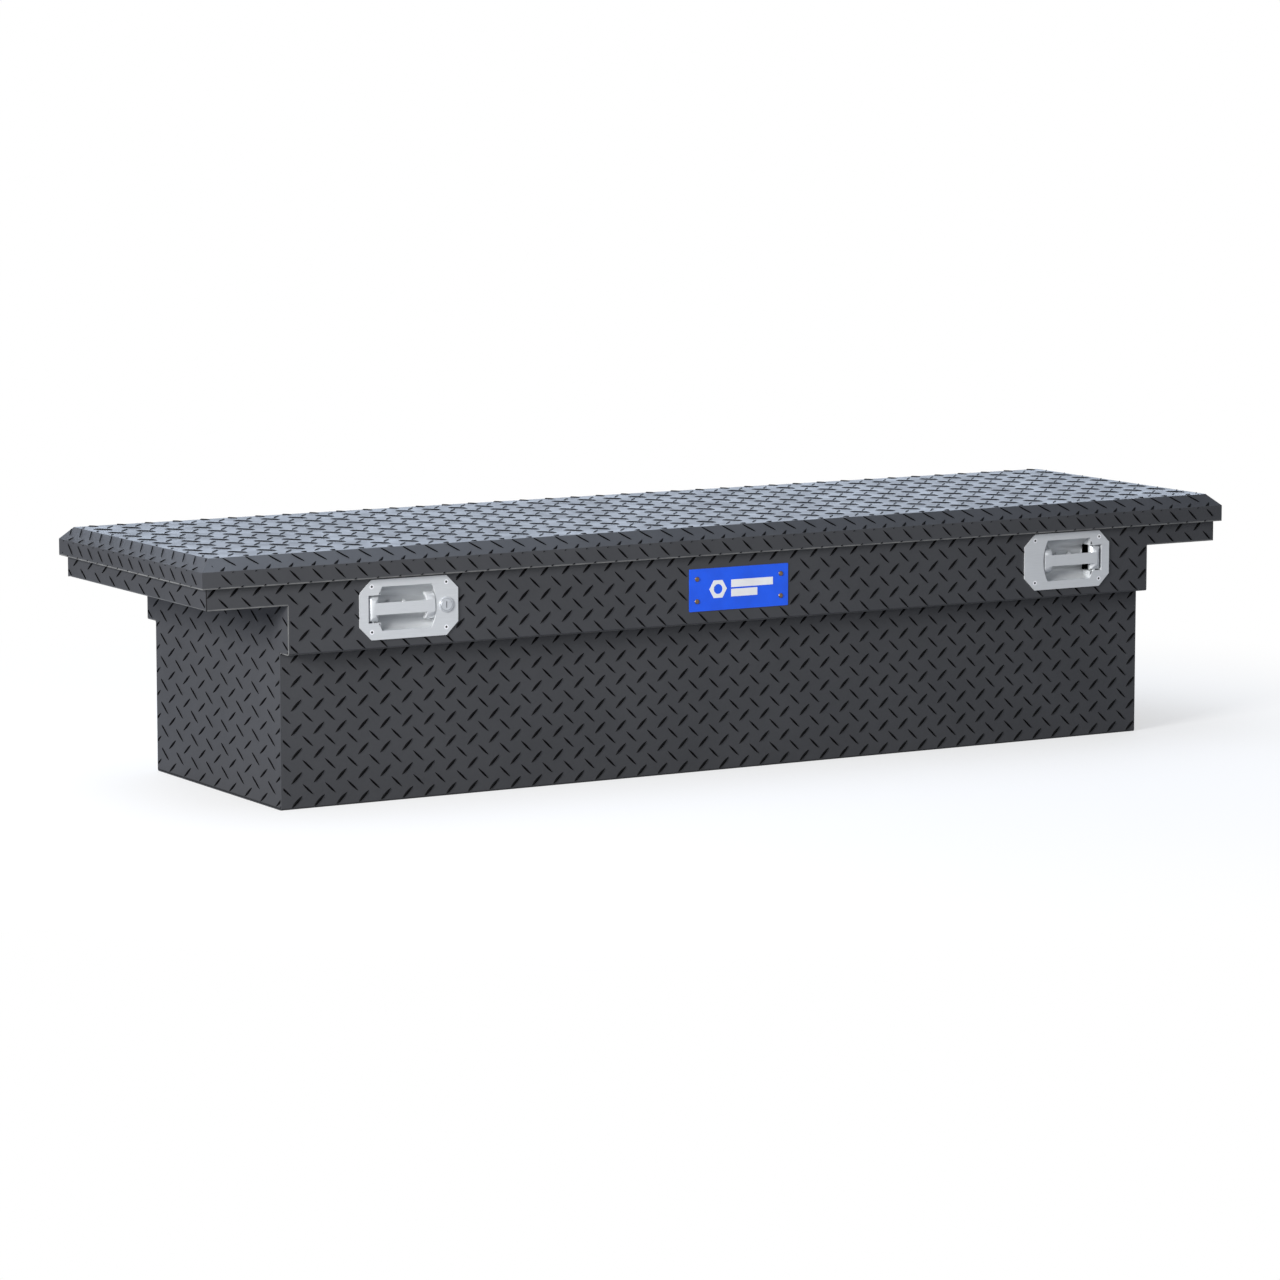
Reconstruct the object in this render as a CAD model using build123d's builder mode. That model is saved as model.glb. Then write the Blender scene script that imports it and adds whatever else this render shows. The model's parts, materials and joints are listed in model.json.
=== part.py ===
"""Low-profile crossover tool box for a pickup truck, folded from 1.6 mm aluminium tread plate.

X runs across the truck, +Y to the rear of the box where the lid is hinged, +Z up.
The origin is at the middle of the box's footprint, at the underside of the tub floor.
"""

from build123d import *
from math import atan2, cos, radians, sin, sqrt
import os

# ---------------------------------------------------------------- driving dimensions, mm
SHEET = 1.6  # tread plate
BEND = 3.0  # outer bend radius of the folded sheets
SLIP = 0.05  # gap round a shaft in its bore

LID_LENGTH = 1770.0
LID_DEPTH = 495.6
LID_TOP = 371.4
LID_BEVEL_FOOT = 354.0
LID_SKIRT_FOOT = 329.5
LID_BEVEL_END = 18.4  # how far the bevel runs in at each end
LID_BEVEL_FRONT = 18.6
LID_BEVEL_REAR = 13.4
LID_HEM = 5.0  # inward fold along the foot of the skirt
HEM_STOP = 20.0  # the end hems stop this far before the rear of the tub
PAN_FOOT = 352.0
PAN_SHEET = 1.2

FRONT = -238.5  # front face of the upper tub
REAR = 237.9  # rear face of the upper tub
JOGGLE_FRONT = 27.6  # how far the lower tub stands back from the upper
JOGGLE_REAR = 29.7
LEDGE = 226.3  # underside of the step between lower and upper tub
WING_FOOT = 298.0  # underside of the wings, which rest on the bed rails
RIM = 345.0
RIM_FLANGE = 22.0
END_FOOT = 16.0  # inward foot of an end panel, on the floor
TUB_HALF = 747.5
WING_HALF = 875.5

SEAL_WIDTH = 12.0
SEAL_INSET = 5.0
SEAL_CORNERS = (14.0, 2.0)  # outer and inner corner radius
SEAL_CROWN = 3.0
SEAL_GAP = 0.2  # under the lid pan

HINGE_Z = 326.0
HINGE_LENGTH = 1700.0
KNUCKLES = 34
KNUCKLE_GAP = 0.5
LEAF = 1.2
LEAF_WIDTH = 24.0
LEAF_CLEAR = 0.6  # between a leaf and the other leaf's knuckles
PIN_R = 2.0
PIN_END = 2.0  # the pin stands out this far past the knuckles
HINGE_RIVET_DROP = 16.0  # rivets below and above the hinge line
RIVET_R = 1.6  # 3.2 mm blind rivets
RIVET_HEAD_R = 4.0
RIVET_TAIL_R = 3.0
RIVET_HEAD = 1.4
RIVET_TAIL = 2.0

STRUT_X = 725.0
STRUT_REACH = 250.0  # from the hinge line to both ends of a strut
STRUT_LIFT = 12.0  # height of the lid end over the hinge line
STRUT_SPREAD = 67.8  # angle at the hinge line between both ends, lid shut
TUBE_R = 9.0
TUBE_WALL = 1.2
ROD_R = 4.0
BALL_R = 5.0
BALL_GAP = 0.3
SOCKET_R, SOCKET_HALF, SOCKET_REACH = 8.0, 7.0, 20.0
SOCKET_NECK_R = 5.5
SOCKET_MOUTH_R = 4.2
STUD_R, STUD_COLLAR_R = 3.0, 6.0
TUB_BRACKET, TUB_BRACKET_SIZE, TUB_BRACKET_CORNER = 3.0, (44.0, 32.0), 5.0
LID_BRACKET, LID_BRACKET_HALF, LID_BRACKET_INNER = 2.5, 20.0, 15.0
TAB_HALF_TOP, TAB_HALF_FOOT = 16.0, 8.0  # half widths of the lid bracket's tab

HANDLES = {"left": (-555.6, 1), "right": (593.8, -1)}  # centre along X, and which way is inward
HANDLE_Z = 284.25
PLATE_LENGTH, PLATE_HEIGHT, PLATE_CHAMFER, PLATE = 159.0, 87.0, 19.0, 2.0
PLATE_DROP = -0.95  # centre of the plate below the centre of its opening
DISH_R = 32.4
DISH_DEPTH = 26.0
DISH_SHEET = 1.2
SLOT_HOUSING = (-66.6, -44.6)
DISH_SPAN = (-45.8, 47.8)
SHEET_CUTS = [((-67.6, -46.0), 22.2), ((-46.8, 48.8), 34.0)]  # span along the handle, and half height
OPENING_TOP = 31.75
SLOT_TOP = 20.0
SCREW_R = 1.75
SCREW_HEAD_R = 3.5
SCREW_HEAD = 1.4
SCREW_SOCKET_R = 1.4
DISH_STUDS = (-20.2, 4.2)  # two round pin heads in the back of the dish
DISH_STUD_R, DISH_STUD_BACK, DISH_STUD_RISE = 4.0, 3.0, 5.0
HUB_SLOT = (-65.4, -44.0)  # hollow of the slot housing along the handle
HOUSING_DEPTH = 22.0
HOUSING_EXIT = (-70.0, -60.0)  # its open outer end, where the heel passes
HOUSING_LIP = 4.0
SCREW_PLACES = [(u, v) for u in (-60.15, 60.15) for v in (-32.75, 32.75)]
SCREW_TIP = 8.0  # behind the front face
SCREW_SOCKET = 1.6
NUT_R, NUT = 4.0, 3.2
LOCK_U = 59.9
LOCK_R = 9.3
LOCK_BODY = 28.0  # housing behind the front face
BEZEL_R, BEZEL, BEZEL_ROUND = 11.25, 2.0, 0.8
BEZEL_WALL = 0.3  # bezel's bore inside the housing's radius
LOCK_NUT_R, LOCK_NUT = 11.4, 4.0
PLUG_R = 6.0
PLUG_FACE = (2.4, 0.2)  # front and back of the plug's face before the plate
PLUG_FACE_R, PLUG_ROUND = 8.8, 0.5
KEYWAY_HALF, KEYWAY_RISE, KEYWAY_DEPTH = 0.8, 4.5, 8.0
CAM_D = 31.3  # front face of the cam behind the front of the box
CAM, CAM_HUB_R, CAM_TIP, CAM_TAIL, CAM_WIDTH = 3.0, 7.5, 18.5, 4.0, 10.0
CAM_STEM_R, CAM_STEM_END = 4.0, 6.0
CAM_NUT_R, CAM_NUT = 7.0, 2.8

LEVER_PIVOT_U = -55.4  # lever pin, along the handle from its centre
LEVER_PIVOT_D = 5.5  # and behind the front face
HUB_R = 8.5
HUB_TOP = 19.3
LEVER_END_U = 41.4
BAR_TOP = 8.5
LEVER_SHEET = 4.0
LEVER_PIN_R = 2.5
LEVER_PIN_RISE = 8.0  # over the slot, where the return spring sits
COIL_R, WIRE_R, COILS, COIL_PITCH = 3.2, 0.6, 5, 1.1
EAR = 12.5
EAR_DEPTH = (-3.0, 9.5)
HEEL_U, HEEL_D, HEEL_R = -25.0, 10.0, 2.5
HEEL_FOOT, HEEL_TOP = 8.0, 14.0

SHAFT_D = 38.0  # release shaft, behind the front face
SHAFT_Z = 318.0
SHAFT_R = 5.0
CRANK_LEAN = 33.0  # degrees forward from hanging straight down
CLAW_U = -106.0
CLAW_THICK = 8.0
CLAW_OPEN = 23.0  # degrees from hooked to clear of the striker
CHEEK = 2.5
CHEEK_GAP = 13.5  # from the claw's middle to the inside of a cheek
STRIKER_D = 44.0
STRIKER_Z = 336.0
STRIKER_R = 3.0
STRIKER_HALF = 9.0
STRIKER_PLATE, STRIKER_PLATE_HALF, STRIKER_PLATE_DEPTH = 2.5, 24.0, 11.0
STRIKER_SCREW, STRIKER_SCREW_R, STRIKER_SCREW_HEAD_R = 18.0, 2.5, 4.5  # screws beside the middle
BUSH_R = 7.5

BADGE_X, BADGE_Z, BADGE_LENGTH, BADGE_HEIGHT = -1.2, 277.8, 172.0, 63.5
BADGE = 1.0
BADGE_CORNER = 1.5
BADGE_RIVET_X, BADGE_RIVET_Z = 73.0, 16.65
BADGE_RIVET_HEAD_R, BADGE_RIVET_HEAD = 3.75, 1.2

MOUNT_X, MOUNT_Y, MOUNT_R = 811.5, 150.0, 5.5  # bolt holes in the wing floors

OVER = 1.0  # how far a cut runs past the faces it goes through

# ---------------------------------------------------------------- derived places
LID_FRONT, LID_REAR = -LID_DEPTH / 2, LID_DEPTH / 2
HINGE_Y = (REAR + LID_REAR - SHEET) / 2
BARREL_R = (LID_REAR - SHEET - REAR) / 2
SHAFT_Y = FRONT + SHAFT_D
SHAFT_LEFT = HANDLES["left"][0] + CLAW_U - CHEEK_GAP - CHEEK - 4
SHAFT_RIGHT = HANDLES["right"][0] - CLAW_U + CHEEK_GAP + CHEEK + 4
PITCH = HINGE_LENGTH / KNUCKLES
SIDES = {"left": -1, "right": 1}

lid_end_angle = radians(180) - atan2(STRUT_LIFT, sqrt(STRUT_REACH**2 - STRUT_LIFT**2))
tub_end_angle = lid_end_angle + radians(STRUT_SPREAD)
STRUT_LID = (HINGE_Y + STRUT_REACH * cos(lid_end_angle), HINGE_Z + STRUT_REACH * sin(lid_end_angle))
STRUT_TUB = (HINGE_Y + STRUT_REACH * cos(tub_end_angle), HINGE_Z + STRUT_REACH * sin(tub_end_angle))
STRUT_SHUT = 2 * STRUT_REACH * sin(radians(STRUT_SPREAD / 2))


def save(part, name):
    """Names a finished piece and writes its STEP file."""
    part.label = name
    export_step(part, f"parts/{name}.step")


def across(x):
    """A plane facing +X at x, whose own x is Y and own y is Z."""
    return Plane(origin=(x, 0, 0), x_dir=(0, 1, 0), z_dir=(1, 0, 0))


def facing(d):
    """An upright plane d behind the front face; a negative extrusion from it goes to the rear."""
    return Plane.XZ.offset(-FRONT - d)


def turned(x, angle):
    """A plane facing +X on the release shaft, its own y leaning forward from upright by degrees."""
    lean = radians(angle)
    return Plane(origin=(x, SHAFT_Y, SHAFT_Z), x_dir=(0, cos(lean), sin(lean)), z_dir=(1, 0, 0))


def block(x, y, z, mode=Mode.ADD):
    """A box between pairs of limits along X, Y and Z."""
    (x0, x1), (y0, y1), (z0, z1) = sorted(x), sorted(y), sorted(z)
    with Locations(((x0 + x1) / 2, (y0 + y1) / 2, (z0 + z1) / 2)):
        Box(x1 - x0, y1 - y0, z1 - z0, mode=mode)


def rod_x(x, y, z, radius, mode=Mode.ADD):
    """A cylinder along X between two X limits, on the line through (y, z)."""
    with Locations(Location(((x[0] + x[1]) / 2, y, z), (0, 90, 0))):
        Cylinder(radius, abs(x[1] - x[0]), mode=mode)


def rod_y(x, y, z, radius, mode=Mode.ADD):
    """A cylinder along Y between two Y limits, on the line through (x, z)."""
    with Locations(Location((x, (y[0] + y[1]) / 2, z), (90, 0, 0))):
        Cylinder(radius, abs(y[1] - y[0]), mode=mode)


def rod_z(x, y, z, radius, mode=Mode.ADD):
    """A cylinder along Z between two Z limits, on the line through (x, y)."""
    with Locations((x, y, (z[0] + z[1]) / 2)):
        Cylinder(radius, abs(z[1] - z[0]), mode=mode)


def knuckle_middles(first):
    """The X of every second knuckle's middle, from the given first one."""
    return [-HINGE_LENGTH / 2 + PITCH * (i + 0.5) for i in range(first, KNUCKLES, 2)]


def rivet_hole(x, y, z):
    """A rivet's hole through a sheet between two Y limits."""
    rod_y(x, (y[0] - OVER, y[1] + OVER), z, RIVET_R + SLIP, mode=Mode.SUBTRACT)


def folded(points, side):
    """A sheet section along a path of points, thickened to one side of it, with round bends."""
    with BuildLine() as section:
        FilletPolyline(*points, radius=BEND)
        offset(amount=SHEET, side=side)
    make_face(section.edges())


def handle_points(centre, hand, outline):
    """Points given along a handle from its centre and above it, as (x, z) on a facing plane."""
    return [(centre + hand * u, HANDLE_Z + v) for u, v in outline]


def opening_outline(centre, hand):
    """The handle opening: a slot for the hub, then the finger opening, bowed at its inner end."""
    slot_end, waist, mouth, arc_foot, arc_mid = -65.4, -49.5, -43.5, 36.6, 44.6
    corners = [
        (arc_foot, OPENING_TOP),
        (mouth, OPENING_TOP),
        (waist, SLOT_TOP),
        (slot_end, SLOT_TOP),
        (slot_end, -SLOT_TOP),
        (waist, -SLOT_TOP),
        (mouth, -OPENING_TOP),
        (arc_foot, -OPENING_TOP),
    ]
    places = handle_points(centre, hand, corners)
    bow = handle_points(centre, hand, [(arc_mid, 0)])[0]
    with BuildLine() as outline:
        Polyline(*places)
        ThreePointArc(places[-1], bow, places[0])
    make_face(outline.edges())


def handle_holes(name, centre, hand):
    """Screw holes on a facing plane, and the lock's hole in the handle that has one."""
    with Locations(*handle_points(centre, hand, SCREW_PLACES)):
        Circle(SCREW_R + SLIP)
    if name == "left":
        with Locations(*handle_points(centre, hand, [(LOCK_U, 0)])):
            Circle(LOCK_R + SLIP)


os.makedirs("parts", exist_ok=True)

# ---------------------------------------------------------------- tub sheets
LOWER_FRONT = FRONT + JOGGLE_FRONT
LOWER_REAR = REAR - JOGGLE_REAR
wrap_path = [
    (FRONT + RIM_FLANGE, RIM),
    (FRONT, RIM),
    (FRONT, LEDGE),
    (LOWER_FRONT, LEDGE),
    (LOWER_FRONT, 0),
    (LOWER_REAR, 0),
    (LOWER_REAR, LEDGE),
    (REAR, LEDGE),
    (REAR, RIM),
    (REAR - RIM_FLANGE, RIM),
]

with BuildPart() as tub_wrap:
    with BuildSketch(across(-WING_HALF)):
        folded(wrap_path, Side.LEFT)
    extrude(amount=2 * WING_HALF)
    for side in SIDES.values():
        block(
            (side * TUB_HALF, side * (WING_HALF + OVER)),
            (FRONT - OVER, REAR + OVER),
            (-OVER, WING_FOOT),
            mode=Mode.SUBTRACT,
        )
    for name, (centre, hand) in HANDLES.items():
        with BuildSketch(facing(-OVER)):
            for (u0, u1), v in SHEET_CUTS:
                with Locations(*handle_points(centre, hand, [((u0 + u1) / 2, 0)])):
                    Rectangle(u1 - u0, 2 * v)
            handle_holes(name, centre, hand)
        extrude(amount=-SHEET - 2 * OVER, mode=Mode.SUBTRACT)
    with BuildSketch(facing(-OVER)):
        with Locations((BADGE_X, BADGE_Z)):
            with GridLocations(2 * BADGE_RIVET_X, 2 * BADGE_RIVET_Z, 2, 2):
                Circle(RIVET_R + SLIP)
    extrude(amount=-SHEET - 2 * OVER, mode=Mode.SUBTRACT)
    for x in knuckle_middles(0):
        rivet_hole(x, (REAR - SHEET, REAR), HINGE_Z - HINGE_RIVET_DROP)
save(tub_wrap.part, "tub_wrap")

INSIDE_FRONT, INSIDE_REAR = FRONT + SHEET, REAR - SHEET
# what an end panel is cut back by in front and behind, up to which height
joggle_steps = [
    ((JOGGLE_FRONT, JOGGLE_REAR), LEDGE + SHEET),
    ((BEND, BEND), LEDGE + SHEET + BEND),
    ((JOGGLE_FRONT + BEND, JOGGLE_REAR + BEND), 2 * BEND),
]
for name, side in SIDES.items():
    end_path = [
        (side * (TUB_HALF - END_FOOT), SHEET),
        (side * TUB_HALF, SHEET),
        (side * TUB_HALF, WING_FOOT),
        (side * WING_HALF, WING_FOOT),
        (side * WING_HALF, RIM),
        (side * (WING_HALF - RIM_FLANGE), RIM),
    ]
    with BuildPart() as end_panel:
        with BuildSketch(Plane.XZ.offset(-INSIDE_REAR)):
            folded(end_path, Side.LEFT if side > 0 else Side.RIGHT)
        extrude(amount=INSIDE_REAR - INSIDE_FRONT)
        stem = (side * (TUB_HALF - 2 * END_FOOT), side * (TUB_HALF + END_FOOT))
        for inset, top in joggle_steps:
            front_cut = (FRONT, INSIDE_FRONT + inset[0])
            rear_cut = (INSIDE_REAR - inset[1], REAR)
            block(stem, front_cut, (0, top), mode=Mode.SUBTRACT)
            block(stem, rear_cut, (0, top), mode=Mode.SUBTRACT)
        flange = (side * (WING_HALF - 2 * RIM_FLANGE), side * (WING_HALF + OVER))
        for y in ((INSIDE_FRONT - OVER, FRONT + RIM_FLANGE), (REAR - RIM_FLANGE, INSIDE_REAR + OVER)):
            block(flange, y, (RIM - BEND, RIM + OVER), mode=Mode.SUBTRACT)
        wing_floor = (WING_FOOT - OVER, WING_FOOT + SHEET + OVER)
        for y in (-MOUNT_Y, MOUNT_Y):
            rod_z(side * MOUNT_X, y, wing_floor, MOUNT_R, mode=Mode.SUBTRACT)
    save(end_panel.part, f"end_panel_{name}")

with BuildPart() as lid_seal:
    with BuildSketch(Plane.XY.offset(RIM)):
        seal_length = 2 * (WING_HALF - SEAL_INSET)
        seal_depth = REAR - FRONT - 2 * SEAL_INSET
        inner_length, inner_depth = seal_length - 2 * SEAL_WIDTH, seal_depth - 2 * SEAL_WIDTH
        with Locations((0, (FRONT + REAR) / 2)):
            RectangleRounded(seal_length, seal_depth, SEAL_CORNERS[0])
            RectangleRounded(inner_length, inner_depth, SEAL_CORNERS[1], mode=Mode.SUBTRACT)
    extrude(amount=PAN_FOOT - SEAL_GAP - RIM)
    fillet(lid_seal.edges().group_by(Axis.Z)[-1], radius=SEAL_CROWN)
save(lid_seal.part, "lid_seal")


# ---------------------------------------------------------------- lid
def lid_form(inset, foot, top):
    """The lid's outer form, or its hollow when inset: straight skirts under four bevels."""
    with BuildSketch(Plane.XY.offset(foot)) as skirt:
        Rectangle(LID_LENGTH - 2 * inset, LID_DEPTH - 2 * inset)
    extrude(skirt.sketch, amount=LID_BEVEL_FOOT - foot)
    with BuildSketch(Plane.XY.offset(LID_BEVEL_FOOT)) as bevel_foot:
        Rectangle(LID_LENGTH - 2 * inset, LID_DEPTH - 2 * inset)
    with BuildSketch(Plane.XY.offset(top)) as bevel_top:
        with Locations((0, (LID_BEVEL_FRONT - LID_BEVEL_REAR) / 2)):
            Rectangle(
                LID_LENGTH - 2 * LID_BEVEL_END - 2 * inset,
                LID_DEPTH - LID_BEVEL_FRONT - LID_BEVEL_REAR - 2 * inset,
            )
    loft([bevel_foot.sketch, bevel_top.sketch])


with BuildPart() as lid_hollow:
    lid_form(SHEET, LID_SKIRT_FOOT - OVER, LID_TOP - SHEET)

with BuildPart() as lid_skin:
    lid_form(0, LID_SKIRT_FOOT, LID_TOP)
    add(lid_hollow.part, mode=Mode.SUBTRACT)
    hem_z = (LID_SKIRT_FOOT, LID_SKIRT_FOOT + SHEET)
    hem_end = LID_LENGTH / 2 - SHEET
    block((-hem_end, hem_end), (LID_FRONT + SHEET, LID_FRONT + SHEET + LID_HEM), hem_z)
    for side in SIDES.values():
        hem_x = (side * hem_end, side * (hem_end - LID_HEM))
        block(hem_x, (LID_FRONT + SHEET, REAR - HEM_STOP), hem_z)
    for x in knuckle_middles(1):
        rivet_hole(x, (LID_REAR - SHEET, LID_REAR), HINGE_Z + HINGE_RIVET_DROP)
save(lid_skin.part, "lid_skin")

with BuildPart() as lid_core:
    add(lid_hollow.part)
    under_core = (0, PAN_FOOT + PAN_SHEET)
    block((-LID_LENGTH, LID_LENGTH), (-LID_DEPTH, LID_DEPTH), under_core, mode=Mode.SUBTRACT)
save(lid_core.part, "lid_foam_core")

with BuildPart() as lid_pan:
    block(
        (-LID_LENGTH / 2 + SHEET, LID_LENGTH / 2 - SHEET),
        (LID_FRONT + SHEET, LID_REAR - SHEET),
        (PAN_FOOT, PAN_FOOT + PAN_SHEET),
    )
save(lid_pan.part, "lid_inner_pan")


# ---------------------------------------------------------------- piano hinge
def hinge_leaf(first, y, up):
    """A leaf on the plane y with every second knuckle, from the given first; up is 1 or -1."""
    clear = BARREL_R + LEAF_CLEAR
    block(
        (-HINGE_LENGTH / 2, HINGE_LENGTH / 2),
        y,
        (HINGE_Z + up * clear, HINGE_Z + up * LEAF_WIDTH),
    )
    for i in range(first, KNUCKLES, 2):
        x0 = -HINGE_LENGTH / 2 + PITCH * i + KNUCKLE_GAP / 2
        x1 = x0 + PITCH - KNUCKLE_GAP
        block((x0, x1), y, (HINGE_Z, HINGE_Z + up * (clear + OVER)))
        rod_x((x0, x1), HINGE_Y, HINGE_Z, BARREL_R)
        rod_x((x0 - OVER, x1 + OVER), HINGE_Y, HINGE_Z, PIN_R + SLIP, mode=Mode.SUBTRACT)
        rivet_hole((x0 + x1) / 2, y, HINGE_Z + up * HINGE_RIVET_DROP)


with BuildPart() as hinge_leaf_tub:
    hinge_leaf(0, (REAR, REAR + LEAF), -1)
save(hinge_leaf_tub.part, "hinge_leaf_tub")

with BuildPart() as hinge_leaf_lid:
    hinge_leaf(1, (LID_REAR - SHEET - LEAF, LID_REAR - SHEET), 1)
save(hinge_leaf_lid.part, "hinge_leaf_lid")

with BuildPart() as hinge_pin:
    pin_half = HINGE_LENGTH / 2 + PIN_END
    rod_x((-pin_half, pin_half), HINGE_Y, HINGE_Z, PIN_R)
save(hinge_pin.part, "hinge_pin")

with BuildPart() as hinge_rivets_tub:
    for x in knuckle_middles(0):
        z = HINGE_Z - HINGE_RIVET_DROP
        rod_y(x, (REAR - SHEET, REAR + LEAF), z, RIVET_R)
        rod_y(x, (REAR + LEAF, REAR + LEAF + RIVET_HEAD), z, RIVET_HEAD_R)
        rod_y(x, (REAR - SHEET - RIVET_TAIL, REAR - SHEET), z, RIVET_TAIL_R)
save(hinge_rivets_tub.part, "hinge_rivets_tub")

with BuildPart() as hinge_rivets_lid:
    leaf_face = LID_REAR - SHEET - LEAF
    for x in knuckle_middles(1):
        z = HINGE_Z + HINGE_RIVET_DROP
        rod_y(x, (leaf_face, LID_REAR), z, RIVET_R)
        rod_y(x, (leaf_face - RIVET_HEAD, leaf_face), z, RIVET_HEAD_R)
save(hinge_rivets_lid.part, "hinge_rivets_lid")


# ---------------------------------------------------------------- gas struts
def ball(side, place, radius, mode=Mode.ADD):
    """A strut's ball on one side of the box, its poles on the line of its stud."""
    with Locations(Location((side * STRUT_X, *place), (0, 90, 0))):
        Sphere(radius, mode=mode)


def strut_plane(x):
    """A plane on a strut's tub end whose normal runs along the strut to its lid end."""
    along = (0, STRUT_LID[0] - STRUT_TUB[0], STRUT_LID[1] - STRUT_TUB[1])
    return Plane(origin=(x, *STRUT_TUB), x_dir=(1, 0, 0), z_dir=along)


TUBE_FOOT, TUBE_TOP = SOCKET_REACH, 246.0  # along a strut from its tub ball
TUBE_BASE, TUBE_GLAND = 4.0, 8.0  # closed ends of the cylinder
PISTON_FOOT, PISTON = TUBE_FOOT + 6.0, 5.0
PISTON_GAP = 0.3
ROD_GRIP = 4.0  # how far the rod's end goes into its socket
for name, side in SIDES.items():
    base = strut_plane(side * STRUT_X)
    with BuildPart() as strut_cylinder:
        with BuildSketch(base.offset(TUBE_FOOT)):
            Circle(TUBE_R)
        extrude(amount=TUBE_TOP - TUBE_FOOT)
        with BuildSketch(base.offset(TUBE_FOOT + TUBE_BASE)):
            Circle(TUBE_R - TUBE_WALL)
        extrude(amount=TUBE_TOP - TUBE_FOOT - TUBE_BASE - TUBE_GLAND, mode=Mode.SUBTRACT)
        with BuildSketch(base.offset(TUBE_FOOT + TUBE_BASE)):
            Circle(ROD_R + 2 * SLIP)
        extrude(amount=TUBE_TOP - TUBE_FOOT, mode=Mode.SUBTRACT)
    save(strut_cylinder.part, f"strut_cylinder_{name}")

    with BuildPart() as strut_rod:
        with BuildSketch(base.offset(PISTON_FOOT)):
            Circle(ROD_R)
        extrude(amount=STRUT_SHUT - SOCKET_REACH + ROD_GRIP - PISTON_FOOT)
        with BuildSketch(base.offset(PISTON_FOOT)):
            Circle(TUBE_R - TUBE_WALL - PISTON_GAP)
        extrude(amount=PISTON)
    save(strut_rod.part, f"strut_rod_{name}")

    for end, reach in (("lower", 1), ("upper", -1)):
        place = STRUT_TUB if end == "lower" else STRUT_LID
        middle = base if end == "lower" else base.offset(STRUT_SHUT)
        with BuildPart() as socket:
            head = (side * STRUT_X - SOCKET_HALF, side * STRUT_X + SOCKET_HALF)
            rod_x(head, *place, SOCKET_R)
            with BuildSketch(middle):
                Circle(SOCKET_NECK_R)
            extrude(amount=reach * SOCKET_REACH)
            ball(side, place, BALL_R + BALL_GAP, Mode.SUBTRACT)
            mouth = (side * STRUT_X, side * (STRUT_X + SOCKET_HALF + OVER))
            rod_x(mouth, *place, SOCKET_MOUTH_R, mode=Mode.SUBTRACT)
            if end == "upper":
                with BuildSketch(middle.offset(-SOCKET_REACH - OVER)):
                    Circle(ROD_R + SLIP)
                extrude(amount=ROD_GRIP + OVER, mode=Mode.SUBTRACT)
        save(socket.part, f"strut_socket_{end}_{name}")

for name, side in SIDES.items():
    wall = side * (TUB_HALF - SHEET)
    bracket_y, bracket_z = [
        (middle - size / 2, middle + size / 2) for middle, size in zip(STRUT_TUB, TUB_BRACKET_SIZE)
    ]
    with BuildPart() as strut_bracket_tub:
        block((wall, wall - side * TUB_BRACKET), bracket_y, bracket_z)
        fillet(strut_bracket_tub.edges().filter_by(Axis.X), radius=TUB_BRACKET_CORNER)
        rod_x((side * STRUT_X, wall - side), *STRUT_TUB, STUD_R)
        rod_x((side * (STRUT_X + SOCKET_HALF + 1), wall - side), *STRUT_TUB, STUD_COLLAR_R)
        ball(side, STRUT_TUB, BALL_R)
    save(strut_bracket_tub.part, f"strut_bracket_tub_{name}")

    tab = side * (STRUT_X + SOCKET_HALF + 2)
    tab_top, tab_foot = PAN_FOOT - 1, STRUT_LID[1] - TAB_HALF_FOOT
    with BuildPart() as strut_bracket_lid:
        block(
            (side * (STRUT_X - LID_BRACKET_INNER), tab + side * LID_BRACKET),
            (STRUT_LID[0] - LID_BRACKET_HALF, STRUT_LID[0] + LID_BRACKET_HALF),
            (PAN_FOOT - LID_BRACKET, PAN_FOOT),
        )
        with BuildSketch(across(tab)):
            with BuildLine():
                Polyline(
                    (STRUT_LID[0] - TAB_HALF_TOP, tab_top),
                    (STRUT_LID[0] + TAB_HALF_TOP, tab_top),
                    (STRUT_LID[0] + TAB_HALF_FOOT, tab_foot),
                    (STRUT_LID[0] - TAB_HALF_FOOT, tab_foot),
                    close=True,
                )
            make_face()
        extrude(amount=side * LID_BRACKET)
        rod_x((side * STRUT_X, tab), *STRUT_LID, STUD_R)
        ball(side, STRUT_LID, BALL_R)
    save(strut_bracket_lid.part, f"strut_bracket_lid_{name}")


# ---------------------------------------------------------------- handles
def handle_box(centre, hand, u, d, v, mode=Mode.ADD):
    """A box given along a handle, behind the front face and above the handle's centre."""
    block(
        (centre + hand * u[0], centre + hand * u[1]),
        (FRONT + d[0], FRONT + d[1]),
        (HANDLE_Z + v[0], HANDLE_Z + v[1]),
        mode=mode,
    )


def dish_form(centre, hand, radius, span, mode):
    """A trough along the handle, a round section cut off at the front face."""
    x = (centre + hand * span[0], centre + hand * span[1])
    with BuildSketch(across(min(x))) as section:
        with Locations((FRONT + DISH_DEPTH - DISH_R, HANDLE_Z)):
            Circle(radius)
        with Locations((FRONT - radius, HANDLE_Z)):
            Rectangle(2 * radius, 3 * radius, mode=Mode.SUBTRACT)
    extrude(section.sketch, amount=abs(x[1] - x[0]), mode=mode)


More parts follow.
